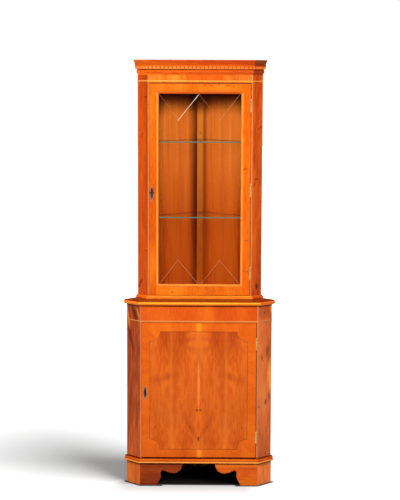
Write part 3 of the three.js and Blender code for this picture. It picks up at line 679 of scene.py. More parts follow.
def dentilRow(name, look, start, end, turn, last):
    # One tooth is eased and copied along the run, up to the place named last
    count = round((end - start).length / (look["dentilPitch"] * mm))
    half = ((end - start).length / count - look["dentilSlot"] * mm) / 2
    depth = (look["dentilOut"] - look["bandOut"] + look["inset"]) * mm
    tooth = startBox(name, (-half, 0, look["dentilLow"] * mm), (half, depth, look["dentilHigh"] * mm))
    ease(tooth, look["easing"])
    spots = [Matrix.Translation(start.lerp(end, i / count)) for i in range(1, count + last)]
    teeth = [copyPiece(tooth, f"{name}_{i}", spot @ turned(turn, "Z")) for i, spot in enumerate(spots, 1)]
    bpy.data.objects.remove(tooth)
    return joinAll(name, teeth), half


def cornerTooth(look, side, half):
    depth = (look["dentilOut"] - look["bandOut"] + look["inset"]) * mm
    nose = arrisPoint(upper, side, look["dentilOut"] * mm)
    reach = nose + alongSide(side) * half
    points = [nose, reach, reach - outOfSide(side) * depth,
              arrisPoint(upper, side, look["dentilOut"] * mm - depth),
              nose + Vector((-side * half, depth, 0)), nose + Vector((-side * half, 0, 0))]
    tooth = drawOutline("corner", [point + place(0, 0, look["dentilLow"]) for point in points])
    pull(tooth, place(0, 0, look["dentilHigh"] - look["dentilLow"]))
    return ease(tooth, look["easing"])


def addCornice(look):
    bandLow = (look["low"] + look["cove"][1] + look["round"][1]) * mm
    bandHigh, crownLow = look["dentilHigh"] * mm, (look["dentilHigh"] + look["bead"][1]) * mm

    def paint(piece):
        # The crown is redder and darker than the rest, its darkness painted shade in its cove, and painted
        # shade lies in the recess under the dentils
        paintFaces(piece, 1, lambda middle, normal: middle.z > crownLow and normal.y < 0.5)
        paintFaces(piece, 2, lambda middle, normal: bandLow < middle.z < bandHigh and abs(normal.z) < 0.5
                   and normal.y < 0.5)

    moulding("cornice_run", upper, corniceProfile(look),
             {word: [corniceWoods[word], crownWoodsInShade[word], recessShadeWood] for word in mouldingTurns},
             {word: [f"cornice_{word}"] for word in mouldingTurns}, paint=paint)
    noses = {side: arrisPoint(upper, side, look["dentilOut"] * mm) for side in (-1, 1)}
    front, half = dentilRow("cornice_front_dentils", look, noses[-1], noses[1], 0, 0)
    corners = [cornerTooth(look, side, half) for side in (-1, 1)]
    fit(joinAll("cornice_front_dentils", [front, *corners]), "case", "yew_moulding", dentilWood)
    for word, side in sideWords.items():
        # At the wall the last tooth is sawn through
        wall = wallPoint(upper, side, look["dentilOut"] * mm)
        row, half = dentilRow(f"cornice_{word}_dentils", look, noses[side], wall, side * 45, 1)
        fit(trim(row, wall, alongSide(side)), "case", "yew_moulding", dentilWood)


addCornice(cornice)
print("cornice made")

# Base moulding: a bead and a groove under a broad round shoulder
baseMoulding = {
    "low": 100, "top": 120.6, "depth": 40, "bead": 4, "beadOut": 14, "grooveOut": 12, "groove": 109,
    "shoulderOut": 9, "shoulder": (5, 11.6),
}


def baseProfile(look):
    return [
        (-look["depth"], look["top"]), (-look["depth"], look["low"]),
        *arc((look["beadOut"], look["low"] + look["bead"]), (look["bead"], look["bead"]), -90, 90, 12),
        (look["grooveOut"], look["groove"]),
        *arc((look["shoulderOut"], look["groove"]), look["shoulder"], 12, 90, 10),
    ]


moulding("base_run", lower, baseProfile(baseMoulding), baseWoods,
         {word: [f"base_moulding_{word}"] for word in mouldingTurns})

# String mouldings under both friezes: a low half-round of paler wood that turns onto the canted sides
strings = {
    "lower": {"low": 719.5, "high": 725, "out": 1.3, "tones": ("#b46830", "#c87c3c", "#d88c48")},
    "upper": {"low": 1747, "high": 1753, "out": 1.5, "tones": ("#c07424", "#e09434", "#f0a845")},
}
for stage, look in strings.items():
    wood = woodMaterial(f"paleBoxwoodString{stage.title()}", look["tones"], grain="across", ring=3,
                        wander=5, patch=50, reach=14)
    low, high, out = look["low"], look["high"], look["out"]
    profile = [(-1, high), (-1, low), *arc((0.1, (low + high) / 2), (out, (high - low) / 2), -90, 90, 8)]
    moulding(f"{stage}_string", plans[stage], profile, {word: wood for word in mouldingTurns}, {}, 0.1)

# Ledge between the stages: one board whose front and canted edges are worked to a full round
ledge = {"low": 792, "high": 811.5, "out": 18, "segments": 8, "fullness": 0.495}


def addLedge(look):
    out = look["out"] * mm
    right = [arrisPoint(lower, 1, out), wallPoint(lower, 1, out), Vector((0, lower["corner"], 0))]
    left = [Vector((-point.x, point.y, 0)) for point in reversed(right[:2])]
    piece = drawOutline("waist_ledge_board", [point + place(0, 0, look["low"]) for point in right + left])
    thickness = (look["high"] - look["low"]) * mm
    pull(piece, Vector((0, 0, thickness)))
    reach = lower["half"] + lower["reach"]
    wall = wallPoint(lower, 1, out).y + 0.5 * mm
    editAll(piece, "EDGE", "DESELECT")
    setMode("OBJECT")
    for edge in piece.data.edges:
        a, b = (piece.data.vertices[i].co for i in edge.vertices)
        middle, run = (a + b) / 2, b - a
        slanted = abs(middle.x) > reach - 1 * mm and run.x * run.y * middle.x < 0
        edge.select = abs(run.z) < thickness / 2 and middle.y < wall and not slanted
    setMode("EDIT")
    bpy.ops.mesh.bevel(offset=thickness * look["fullness"], segments=look["segments"], affect="EDGES")
    setMode("OBJECT")
    fit(smooth(piece, 25), "case", "yew_moulding", [*waistWoods.values(), ledgeTopShadeWood], "waist_ledge")
    paintFaces(piece, 1, lambda middle, normal: normal.x < -0.3)
    paintFaces(piece, 2, lambda middle, normal: normal.x > 0.3)
    # The top faces get the painted shade
    paintFaces(piece, 3, lambda middle, normal: normal.z > 0.99)


addLedge(ledge)

# Plinth of the display case: three moulded lengths round the board that is its floor
plinth = {"low": 811.5, "top": 826, "depth": 30, "foot": 8, "bead": 4.5, "out": 14, "shoulder": 2,
          "board": 20}


def plinthProfile(look):
    beadOut, beadTop = look["out"] - look["bead"], look["low"] + look["bead"] * 2
    return [
        (-look["depth"], look["top"]), (-look["depth"], look["low"]), (look["foot"], look["low"]),
        *arc((beadOut, look["low"] + look["bead"]), (look["bead"], look["bead"]), -62, 72, 10),
        *arc((look["shoulder"], beadTop), (beadOut - look["shoulder"], look["top"] - beadTop), 10, 90, 8),
    ]


moulding("plinth_run", upper, plinthProfile(plinth), waistWoods, {"front": ["upper_plinth_board"]})
floorWood = woodMaterial("polishedYewFloor", ("#8a3208", "#a84410", "#bd5a18"), grain="across", seed=24)
displayFloor = mergedCopy("upper_plinth_board", "display_floor_board")
for side in (-1, 1):
    trim(displayFloor, arrisPoint(upper, side, -plinth["board"] * mm), outOfSide(side))
trim(displayFloor, place(0, upperFront + plinth["board"] + 0.3, 0), (0, -1, 0))
fit(ease(displayFloor, 0.5), "case", "yew_moulding", floorWood)
print("mouldings made")

# Bracket feet: a scrolled bracket on the front, in shares of half the front and of its height, mitred to a
# plain cheek on the canted side
foot = {
    "height": 100, "out": 2.5, "thickness": 18, "easing": 0.7, "spare": 20,
    "toe": 0.284, "knee": (0.352, 0.35), "notchLow": (0.347, 0.55), "notchPull": (0.352, 0.665),
    "notchHigh": (0.4, 0.67), "lobePull": (0.455, 0.57), "lobeLow": (0.556, 0.524),
    "lobeRound": (0.645, 0.53), "lobeSide": (0.695, 0.71), "lobeTop": (0.718, 0.84), "end": 0.725,
}
footLook = {"grain": "across", "ring": 6, "wander": 20, "patch": 60, "reach": 8}
# Painted shadow under the base moulding's bead, on the feet and their cheeks
shadowUnderBase = shadeAndHighlightLine(95.5, 5, "#1c0a05")
cheekShadowMarks = [shadowLine(95.5, 4, "#5c200c", 0.8)]
footWoods = {
    "left": woodMaterial("polishedYewFootLeft", ("#74270d", "#89320e", "#a74614"), seed=3, marks=[shadowUnderBase],
                         **footLook),
    "right": woodMaterial("polishedYewFootRight", ("#a73b0b", "#c74d0f", "#db6917"), seed=5, marks=[
        shadowUnderBase, shadeAndHighlightLine(88, 9, "#e8741c", 0.7), shadeAndHighlightLine(12, 10, "#d86818", 0.6)], **footLook),
}
cheekWoods = {
    "left": woodMaterial("polishedYewCheekLeft", ("#b44d1b", "#d76423", "#ef8035"), turn=45, seed=2,
                         marks=cheekShadowMarks),
    "right": woodMaterial("polishedYewCheekRight", ("#d9682c", "#fc843d", "#ffa756"), turn=-45, seed=4,
                          marks=cheekShadowMarks),
}


def addFoot(look, word, side):
    half = lower["half"] / mm
    end, beyond = (look["end"], 1), side * (half + look["spare"])
    shares = [end, *curve(end, look["lobeTop"], look["lobeSide"]),
              *curve(look["lobeSide"], look["lobeRound"], look["lobeLow"]),
              *curve(look["lobeLow"], look["lobePull"], look["notchHigh"]),
              *curve(look["notchHigh"], look["notchPull"], look["notchLow"]), look["knee"], (look["toe"], 0)]
    points = [(beyond, 0), (beyond, look["height"]),
              *[(side * half * (1 - inward), look["height"] * up) for inward, up in shares]]
    piece = drawOutline(f"bracket_foot_{word}", [place(x, lowerFront - look["out"], z) for x, z in points])
    pull(piece, place(0, look["thickness"], 0))
    trim(piece, arrisPoint(lower, side, 0) - place(side * 0.1, 0, 0), mitreNormal(side))
    ease(piece, look["easing"], 2, 40)
    fit(piece, "case", "yew_face", footWoods[word], f"foot_front_{word}")
    easedNode(f"foot_side_{word}", "case", "yew_side", cheekWoods[word], look["easing"])


for word, side in sideWords.items():
    addFoot(foot, word, side)
easedNode("rear_foot", "case", "bare_board", bareBoard, 1)

# Canted sides, each veneered on its outside, with a paler strip let into the front arris
stripLook = {"ring": 3, "wander": 4, "patch": 60, "reach": 20}
stripWoods = {
    "upper": woodMaterial("paleArrisStripUpper", ("#bc6a3c", "#d07c4c", "#e08c5c"), **stripLook),
    "lower": woodMaterial("paleArrisStripLower", ("#b86440", "#cc784c", "#dc8c5c"), **stripLook),
}
# Painted shadow under the ledge, on the lower canted sides
shadowUnderLedge = shadowLine(789, 4, "#401408", 0.9, 0.8)
sideLooks = {
    "upper_left": {
        "tones": ("#ac3e03", "#ca4802", "#d65a05"), "turn": 45, "seed": 11, "contrast": 1.5, "marks": [
            mark(-79, 1300, 5, 540, "#8c2c06", 0.8, 0.9), mark(-132, 1200, 7, 420, "#a83808", 0.6, 1),
            mark(-90, 1681, 10, 3.5, "#7c2408", tilt=10, bulge=6),
            mark(-129, 1545, 4, 12, "#a03c0c", 0.7, tilt=20),
            mark(-114, 1519, 5, 16, "#9c380c", 0.8, tilt=-25, bend=0.8),
            mark(-88, 1020, 8, 3, "#842c08", tilt=15, bulge=5), mark(-92, 1122, 3, 9, "#9c380c", 0.7),
            mark(-122, 880, 4, 20, "#6c2408", tilt=-35, bend=1.6, bulge=8),
            mark(-128, 864, 5, 9, "#5c1c08", tilt=30)]},
    "upper_right": {
        "tones": ("#b03c06", "#d4530a", "#e46a10"), "turn": -45, "seed": 12, "contrast": 1.5, "marks": [
            mark(127, 1554, 13, 3, "#642008", 1, 0.6, 0.8, tilt=28, bulge=6),
            mark(112, 1544, 6, 2.5, "#842c0a", tilt=-20),
            mark(91, 1310, 3.5, 17, "#84300c", tilt=-16, bulge=4),
            mark(105, 1331, 13, 3.5, "#7c2a08", 1, 0.6, 0.7, tilt=8, bulge=5),
            mark(109, 864, 8, 17, "#6c2a0c", 1, 0.6, 0.9, bulge=9), mark(110, 862, 3, 8, "#38180c")]},
    "lower_left": {
        "tones": ("#963a17", "#be5322", "#d86b32"), "turn": 45, "seed": 13, "contrast": 1.7, "marks": [
            mark(-88, 752, 13, 44, "#64220c", 1, 0.8, tilt=26),
            mark(-118, 660, 9, 80, "#641e0c", 0.9, 0.8, tilt=13, bend=1),
            mark(-67, 757, 4, 24, "#e08030", 1, 0.5, tilt=26),
            mark(-130, 735, 7, 58, "#e07028", 1, 0.5, tilt=11),
            mark(-100, 560, 6, 70, "#7c2c14", 0.5, 1, tilt=-4),
            mark(-74, 300, 6, 110, "#7c2c14", 0.7, 1, tilt=3),
            mark(-112, 380, 8, 90, "#8c3418", 0.6, 1), shadowUnderLedge]},
    "lower_right": {
        "tones": ("#bb5221", "#dc6b31", "#ed8141"), "turn": -45, "seed": 14, "contrast": 1.3, "marks": [
            mark(84, 764, 70, 40, "#a83c0c", 0.6, 0.8), mark(93, 757, 5, 4, "#5c200c", bulge=6),
            mark(135, 775, 9, 24, "#ff8c34", 1, 0.7), mark(137, 737, 8, 20, "#b0380c", 0.8, 0.8),
            mark(78, 560, 5, 18, "#84340f", 1, 0.9, tilt=14, bend=0.8, bulge=5),
            mark(113, 588, 10, 26, "#8c3826", 0.8, 1, 0.9, tilt=-8, bulge=5),
            mark(104, 364, 6, 15, "#702c1c", 1, 1, 0.9, tilt=6, bulge=6),
            mark(125, 388, 8, 18, "#8c4028", 0.8, 1), mark(61, 347, 4, 5, "#6c280c"),
            mark(105, 135, 6, 5, "#74300f"),
            mark(147, 478, 36, 86, "#ff983c", 1, 0.5, 0.6), shadowUnderLedge]},
}
sideVeneers = {}
for name, look in sideLooks.items():
    stage, word = name.split("_")
    sideVeneers[name] = woodMaterial(f"polishedYewSide_{name}", ring=9, **look)
    woods = [bareBoard, sideVeneers[name], stripWoods[stage]]
    side = easedNode(f"{name}_side", "case", "yew_side", woods, 1, 3)
    paintFaces(side, 1, lambda middle, normal: normal.dot(outOfSide(sideWords[word])) > 0.92)
    paintFaces(side, 2, lambda middle, normal: normal.y < -0.9 and middle.y < plans[stage]["front"] + 1 * mm)
print("feet and sides made")

# Friezes and the boards of the carcase
lowerFrieze = woodMaterial(
    "polishedYewFriezeLower", ("#af3d0a", "#cb4d0d", "#d96519"), ring=5, wander=14, patch=110, reach=5,
    seed=21, contrast=0.7, marks=[
        shadowLine(789, 4.5, "#401408", 0.9, 0.8), mark(40, 755, 26, 60, "#e8761c", 0.3, 1)])
friezeLook = {"ring": 5, "wander": 10, "patch": 60, "reach": 5,
              "marks": [shadowLine(1741.5, 3, "#7c2c1c", 1, 0.4)]}
friezeLeaves = [
    woodMaterial("polishedYewFriezeLeft", ("#bf5711", "#db761d", "#e68d2a"), seed=22, **friezeLook),
    woodMaterial("polishedYewFriezeMiddle", ("#b94009", "#d4550f", "#e06715"), seed=23, **friezeLook),
    woodMaterial("polishedYewFriezeRight", ("#bc5012", "#d36b1d", "#df7e25"), seed=24, **friezeLook),
]
friezeJoints = (-60, 98)
easedNode("lower_frieze", "case", "yew_face", lowerFrieze, 0.3)
upperFrieze = ease(mergedCopy("upper_frieze", "upper_frieze_leaves"), 0.3)
for index, x in enumerate(friezeJoints, 1):
    # Leaves of veneer meet at upright joints
    editAll(upperFrieze)
    bpy.ops.mesh.bisect(plane_co=place(x, 0, 0), plane_no=(1, 0, 0))
    setMode("OBJECT")
    paintFaces(upperFrieze, index, lambda middle, normal: middle.x > x * mm)
fit(upperFrieze, "case", "yew_cross", friezeLeaves, "upper_frieze")
for name in ("lower_floor", "lower_shelf", "upper_top_board", "upper_door_stop"):
    easedNode(name, "case", "bare_board", shelfBoard)

# Back panels, veneered inside, and the pale post that covers their joint
backLow = {"tones": ("#923306", "#b14509", "#c45710"), "ring": 9, "contrast": 1.6, "reach": 14}
# Painted light and shade inside the display case: painted shade under its top and in its top corners, a
# painted pool of light on the upper backs, and painted shade on the backs beside the corner post
topShade, sideShade = "#3c1002", "#380e02"
shadeUnderTop = mark(0, 1745, 900, 120, topShade, 1, 0.6, 0.12)
paintedLightOnBacks = mark(0, 1640, 900, 420, "#f28730", 0.7, 0.9, 0.3)
backFigure = [mark(u, z, half, tall, colour, 0.34, 1, 0.9) for u, z, half, tall, colour in (
    (-88, 1560, 5, 150, "#f4a458"), (-66, 1450, 6, 210, "#b8500c"), (-44, 1600, 4, 120, "#b4500c"),
    (-14, 1540, 6, 190, "#f09848"), (8, 1430, 4, 160, "#b04c0c"), (28, 1640, 4, 110, "#a8480c"),
    (52, 1500, 6, 170, "#f09c4c"), (70, 1420, 4, 150, "#b04c0c"), (-100, 1300, 4, 170, "#b8540c"),
    (-30, 1250, 5, 130, "#b04c0c"), (40, 1260, 4, 140, "#d88038"))]
backLooks = {
    "left": {**backLow, "turn": -45, "seed": 31, "marks": [
        paintedLightOnBacks, *backFigure, shadeUnderTop, mark(118, 1700, 70, 110, topShade, 1, 0.9, 0.12),
        mark(-122, 1690, 44, 90, topShade, 0.7, 0.9, 0.12), mark(-107, 1225, 5, 6, "#7a2c08", 0.6, bulge=8),
        mark(114, 1280, 44, 700, sideShade, 0.95, 1, 0.1)]},
    "right": {**backLow, "turn": 45, "seed": 32, "marks": [
        paintedLightOnBacks, *backFigure[:8], shadeUnderTop, mark(-118, 1700, 60, 90, topShade, 1, 0.9, 0.12),
        mark(122, 1690, 34, 80, topShade, 0.7, 0.9, 0.12),
        mark(-110, 1280, 22, 700, "#6c2404", 0.7, 1, 0.1)]},
}
# The post carries painted light up the bay, painted shade under the top, and painted shade down its right
# side
postWood = woodMaterial(
    "paleBeechPost", ("#933f06", "#a84b08", "#b9590e"), ring=5, wander=8, patch=60, reach=8, rough=0.45,
    seed=33, marks=[
        mark(0, 1640, 300, 420, "#d07824", 0.95, 0.9, 0.2), shadeUnderTop,
        mark(0, 1700, 60, 80, topShade, 0.8, 0.9, 0.12), mark(16, 1280, 7, 700, "#6c3008", 0.5, 0.9, 0.1),
        mark(0, 1519, 4, 6, "#7c3c14", 0.7, bulge=4)])
backLift = 0.3 * mm


def standOnFloor(piece):
    # The lower backs' foot comes down to the floor, so that no light shows under it
    editAll(piece, "VERT", "DESELECT")
    setMode("OBJECT")
    lowest = min(vertex.co.z for vertex in piece.data.vertices)
    for vertex in piece.data.vertices:
        vertex.select = vertex.co.z < lowest + 0.1 * mm
    setMode("EDIT")
    bpy.ops.transform.translate(value=(0, 0, backLift - lowest))
    setMode("OBJECT")


for word, look in backLooks.items():
    veneer = woodMaterial(f"polishedYewBack_{word}", rough=0.42, **look)
    for stage in plans:
        back = mergedCopy(f"{stage}_{word}_back", f"{stage}_{word}_back_veneered")
        if stage == "lower":
            standOnFloor(back)
        ease(back, 0.5)
        # The panel's front end shows beside the canted side, so it has the side's veneer
        woods = [veneer, bareBoard, sideVeneers[f"{stage}_{word}"]]
        fit(back, "case", "yew_inside", woods, f"{stage}_{word}_back")
        paintFaces(back, 1, lambda middle, normal: normal.y > 0.3)
        paintFaces(back, 2, lambda middle, normal: normal.x * sideWords[word] > 0.3 and normal.y < 0.3)
for stage in plans:
    easedNode(f"{stage}_corner_post", "case", "pale_wood", postWood, 1.2, 3)
print("carcase made")

# Keyholes: a round hole with a slot under it, behind a pointed oval plate
# Near black: painted shade inside the keyholes' cut
keyholeShade = woodMaterial("paintedShadeInKeyholeCut", ("#140804", "#1c0c06", "#241008"), rough=0.7)
plates = {
    "upper": {"x": -206.5, "z": 1269, "height": 68, "keyhole": 1275, "front": upperFront},
    "lower": {"x": -233, "z": 408.5, "height": 65, "keyhole": 416, "front": lowerFront},
}
plateLook = {
    "width": 16, "thickness": 0.7, "margin": 2.2, "field": 1.2, "easing": 0.45, "hole": 2.9, "slot": 1.7,
    "drop": 11, "pin": 1.1, "pinInset": 7, "spare": 5,
}


def keyholeTools(spot, depth):
    x, z, near, far = spot["x"], spot["keyhole"], spot["front"] - plateLook["spare"], spot["front"] + depth
    slot = plateLook["slot"]
    return (startRod("hole", plateLook["hole"], place(x, near, z), place(x, far, z), 20),
            startBox("slot", place(x - slot, near, z - plateLook["drop"]), place(x + slot, far, z)))


# Lower door: crossbanded veneers round a thin inlaid line with hollow corners, and a book-matched field
lowerDoor = {
    "veneer": 0.6, "line": 2.2, "sunk": 0.05, "left": -213.7, "right": 210.3, "low": 158.7, "high": 678.5,
    "hollow": 45, "step": 4, "leaf": 111.6, "middle": -1.6, "mortise": 12,
}
bandLook = {"tones": ("#b7480c", "#d25a0e", "#e06f18"), "ring": 4, "wander": 10, "patch": 90, "reach": 5,
            "contrast": 0.75}
bandUp = woodMaterial("polishedYewBandUp", seed=41, **bandLook, marks=[
    mark(-1, 697, 12, 60, "#f08c1c", 0.9, 0.9, 0.3), mark(1, 143, 12, 60, "#f08a24", 0.8, 0.9, 0.3)])
bandAcross = woodMaterial("polishedYewBandAcross", grain="across", seed=42, **bandLook)
doorBack = woodMaterial("polishedYewDoorBack", ("#a8460c", "#c25a12", "#d46c1c"), ring=7, reach=10,
                        contrast=1.2, seed=44)
lineWood = woodMaterial("stainedLine", ("#6c3410", "#7c3e14", "#8c4c1c"), ring=3, wander=3, patch=40)
fieldWood = woodMaterial(
    "polishedYewField", ("#b8480f", "#d65e15", "#e67222"), mirror=lowerDoor["middle"] * mm,
    leaf=lowerDoor["leaf"] * mm, seed=43, ring=9, wander=60, patch=110, reach=4, flame=0.4, contrast=1.5,
    marks=[
        mark(0, 445, 6, 105, "#ec8030", 0.8, 0.8, 0.7), mark(0, 262, 4, 60, "#a83c10", 0.35, 1, 0.8),
        mark(48, 280, 14, 90, "#a43a0e", 0.4, 1, 0.8, tilt=-26, bend=-1.2),
        mark(20, 232, 9, 50, "#a43a0e", 0.3, 1, 0.8, tilt=-20, bend=-1.2),
        mark(50, 642, 44, 15, "#a43a12", 0.5, 1, 0.9, tilt=-12),
        mark(36, 604, 36, 13, "#ac4214", 0.4, 1, 0.9, tilt=16),
        mark(84, 580, 22, 30, "#a83e12", 0.35, 1, 0.9, tilt=30),
        mark(190, 600, 30, 44, "#a83e12", 0.2, 1, 0.9, tilt=20),
        mark(138, 478, 34, 16, "#9c380e", 0.5, 1, 0.9, tilt=-16, bulge=10),
        mark(92, 500, 16, 66, "#b04612", 0.5, 1, 0.9), mark(58, 470, 14, 84, "#b04612", 0.35, 1, 0.9, tilt=8),
        mark(184, 466, 28, 20, "#a83e12", 0.4, 1, 0.9, tilt=25),
        mark(150, 330, 18, 90, "#b04612", 0.3, 1, 0.9, tilt=-10),
        mark(119, 420, 9, 300, "#e07c30", 0.3, 1, 0.5), mark(102, 420, 8, 300, "#b44a12", 0.3, 1, 0.5),
        mark(7, 333, 5, 4, "#74280c", 1, 0.6, 0.8, tilt=20, bulge=8),
        mark(2, 205, 3, 12, "#843410", 1, 0.8, 0.8),
        mark(38, 258, 3, 6, "#84340f", 1, 0.8, tilt=-20, bulge=5),
        mark(187, 257, 3, 5, "#94400f", 1, 0.8, bulge=4)])


def hollowSides(look, shift):
    # The four sides of the inlaid rectangle moved inwards, each from the middle of one hollow corner to
    # that of the next
    radius = look["hollow"] + shift
    foot = math.sqrt(look["hollow"] ** 2 - look["step"] ** 2) + shift
    half = [*arc((0, 0), (radius, radius), math.degrees(math.acos(foot / radius)), 45, 8)[::-1],
            (foot, shift)]
    left, right, low, high = (look[word] for word in ("left", "right", "low", "high"))
    back = half[::-1]
    return {
        "foot": [(left + x, low + y) for x, y in half] + [(right - x, low + y) for x, y in back],
        "head": [(left + x, high - y) for x, y in half] + [(right - x, high - y) for x, y in back],
        "left": [(left + y, low + x) for x, y in half] + [(left + y, high - x) for x, y in back],
        "right": [(right - y, low + x) for x, y in half] + [(right - y, high - x) for x, y in back],
    }


def veneerSheet(name, points, material, look, sunk=0):
    sheet = drawOutline(name, [place(x, lowerFront + sunk, z) for x, z in points])
    pull(sheet, place(0, look["veneer"] - sunk, 0))
    if name.endswith("band_left"):
        cutAway(sheet, *keyholeTools(plates["lower"], look["mortise"]))
    fit(smooth(sheet), "lower_door", "yew_face", material)


def addLowerDoor(look):
    low, high = boxOf("lower_door_panel")
    spot = plates["lower"]
    core = mergedCopy("lower_door_panel", "lower_door_core")
    trim(core, place(0, lowerFront + look["veneer"], 0), (0, -1, 0))
    cutAway(ease(core, 0.4), *keyholeTools(spot, look["mortise"]))
    fit(core, "lower_door", "yew_face", [doorBack, keyholeShade], "lower_door_panel")

    def inKeyhole(middle, normal):
        x, depth, z = middle.x / mm - spot["x"], middle.y / mm - lowerFront, middle.z / mm - spot["z"]
        return abs(x) < 4 and abs(z) < 25 and 0.8 < depth < look["mortise"] + 1

    # Faces inside the keyhole get the painted shade
    paintFaces(core, 1, inKeyhole)
    outer = {
        "foot": [(high.x, low.z), (low.x, low.z)], "head": [(high.x, high.z), (low.x, high.z)],
        "left": [(low.x, high.z), (low.x, low.z)], "right": [(high.x, high.z), (high.x, low.z)],
    }
    lineOuter, lineInner = hollowSides(look, 0), hollowSides(look, look["line"])
    for word in outer:
        veneerSheet(f"lower_door_band_{word}", lineOuter[word] + outer[word],
                    bandUp if word in ("head", "foot") else bandAcross, look)
        veneerSheet(f"lower_door_line_{word}", lineInner[word] + lineOuter[word][::-1], lineWood, look,
                    look["sunk"])
    points = lineInner["foot"] + lineInner["right"] + lineInner["head"][::-1] + lineInner["left"][::-1]
    veneerSheet("lower_door_field", points, fieldWood, look)


addLowerDoor(lowerDoor)
print("lower door made")

# Glazed door: flat stiles and rails, a paler moulded edge mitred round the opening, and beads behind the pane
glazedDoor = {
    "stile": 31, "head": 33, "foot": 37, "edge": 10, "quirk": 0.8, "fall": 5, "rebate": 6, "pane": 8,
    "paneThickness": 4, "thickness": 20, "easing": 0.6, "beadLip": 0.4, "beadFoot": 1.5, "play": 0.1,
}
stileMarks = {
    "left": [mark(-204, 1040, 5, 60, "#b84a10", 0.5, 0.9), mark(-203, 950, 22, 90, "#ec7812", 0.6, 1)],
    "right": [
        mark(196, 1376, 15, 2.4, "#9c3408", 1, 0.9, 0.9, bulge=7), mark(186, 1371, 4, 4, "#8c2c06", tilt=30),
        mark(201, 1066, 10, 2.6, "#a03e0a", 1, 0.9, 0.9, bulge=5),
        mark(188, 934, 8, 2.6, "#94380a", 1, 0.6, 0.9, tilt=6), mark(205, 931, 5, 2.4, "#94380a", tilt=-12)],
}
headDots = [mark(x, z, 3.6, 4, "#a03c0c", 1, 0.7) for x, z in (
    (15, 1731), (24, 1733), (45, 1730), (54, 1729), (80, 1736), (114, 1730), (123, 1732), (142, 1728))]
railLook = {"ring": 4, "wander": 10, "patch": 60, "reach": 4}
memberWoods = {
    "head": woodMaterial("polishedYewHeadRail", ("#c94606", "#dd620c", "#ed7516"), seed=53, **railLook,
                         marks=[mark(90, 1722, 50, 22, "#ed7b19", 0.7, 1), *headDots]),
    "foot": woodMaterial("polishedYewFootRail", ("#be4c09", "#db680e", "#ea7c17"), seed=54, **railLook,
                         marks=[mark(-118, 840, 4, 5, "#8c3c10")]),
    **{word: woodMaterial(f"polishedYewStile_{word}", ("#c04705", "#dc5e07", "#ec740f"), ring=5, wander=10,
                          patch=70, seed=seed, marks=stileMarks[word])
       for word, seed in (("left", 51), ("right", 52))},
}
edgeLook = {"ring": 3, "wander": 5, "patch": 60, "reach": 12}
edgeTones = ("#d06a1c", "#e28430", "#f09a44")
edgeWoods = {
    "up": woodMaterial("polishedYewEdge", edgeTones, seed=55, **edgeLook),
    "across": woodMaterial("polishedYewEdgeAcross", edgeTones, seed=56, grain="across", **edgeLook),
    # The edge under the head rail faces down into the opening, so its copy is painted darker as shade
    "head": woodMaterial("polishedYewEdgeHeadInShade", ("#a84010", "#c05014", "#cc6420"), seed=57, grain="across",
                         **edgeLook),
}
doorSides = {"left": (1, 0), "right": (-1, 0), "foot": (0, 1), "head": (0, -1)}
low, high = boxOf("upper_door_left_stile")
stileReach = glazedDoor["stile"] + glazedDoor["edge"]
opening = {
    "left": low.x + stileReach, "right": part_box("upper_door_right_stile")[1].x / mm - stileReach,
    "foot": low.z + glazedDoor["foot"] + glazedDoor["edge"],
    "head": high.z - glazedDoor["head"] - glazedDoor["edge"],
}


def mitredEdge(name, word, section):
    # A section of (distance into the opening, depth behind the front), run along one side and sawn at both
    # mitres, a hairline short of them
    inX, inZ = doorSides[word]
    spare, hairline = 20, 0.08 * mm
    if inX:
        starts = [(opening[word] + inX * w, depth, opening["foot"] - spare) for w, depth in section]
        length = place(0, 0, opening["head"] - opening["foot"] + spare * 2)
    else:
        starts = [(opening["left"] - spare, depth, opening[word] + inZ * w) for w, depth in section]
        length = place(opening["right"] - opening["left"] + spare * 2, 0, 0)
    piece = pull(drawOutline(name, [place(x, upperFront + depth, z) for x, depth, z in starts]), length)
    for end, away in ((("foot", -1), ("head", 1)) if inX else (("left", -1), ("right", 1))):
        corner = (opening[word], 0, opening[end]) if inX else (opening[end], 0, opening[word])
        normal = Vector((inX, 0, away) if inX else (away, 0, inZ)) * diagonal
        trim(piece, place(*corner) - normal * hairline, normal)
    return piece


def addGlazedDoor(look):
    edge, quirk, rebate, thickness = look["edge"], look["quirk"], look["rebate"], look["thickness"]
    fall = arc((quirk, look["fall"] + quirk), (edge - quirk, -look["fall"]), 90, 0, 10)
    section = [(-edge, thickness), (-edge, quirk * 2), *[(x - edge, depth) for x, depth in fall],
               (0, look["pane"]), (-rebate, look["pane"]), (-rebate, thickness)]
    back = look["pane"] + look["paneThickness"] + look["play"]
    lip, rise = look["beadLip"], back + look["beadFoot"]
    bead = [(-rebate, back), (-lip, back), (-lip, rise),
            *arc((-rebate, rise), (rebate - 0.6, thickness - rise - 0.2), 0, 90, 6)]
    for word in doorSides:
        across = word in ("foot", "head")
        piece = smooth(mitredEdge(f"upper_door_edge_{word}", word, section))
        fit(piece, "upper_door", "yew_cross" if across else "yew_face",
            edgeWoods["head" if word == "head" else "across" if across else "up"])
        piece = smooth(mitredEdge(f"glazing_bead_{word}", word, bead))
        fit(piece, "upper_door", "yew_face", edgeWoods["across" if across else "up"])
    for word, (inX, inZ) in doorSides.items():
        member = f"upper_door_{word}_{'stile' if inX else 'rail'}"
        flat = mergedCopy(member, member + "_flat")
        trim(flat, place(opening[word] - inX * edge, 0, opening[word] - inZ * edge), (inX, 0, inZ))
        fit(ease(flat, look["easing"]), "upper_door", "yew_face" if inX else "yew_cross", memberWoods[word],
            member)


addGlazedDoor(glazedDoor)
print("glazed door made")

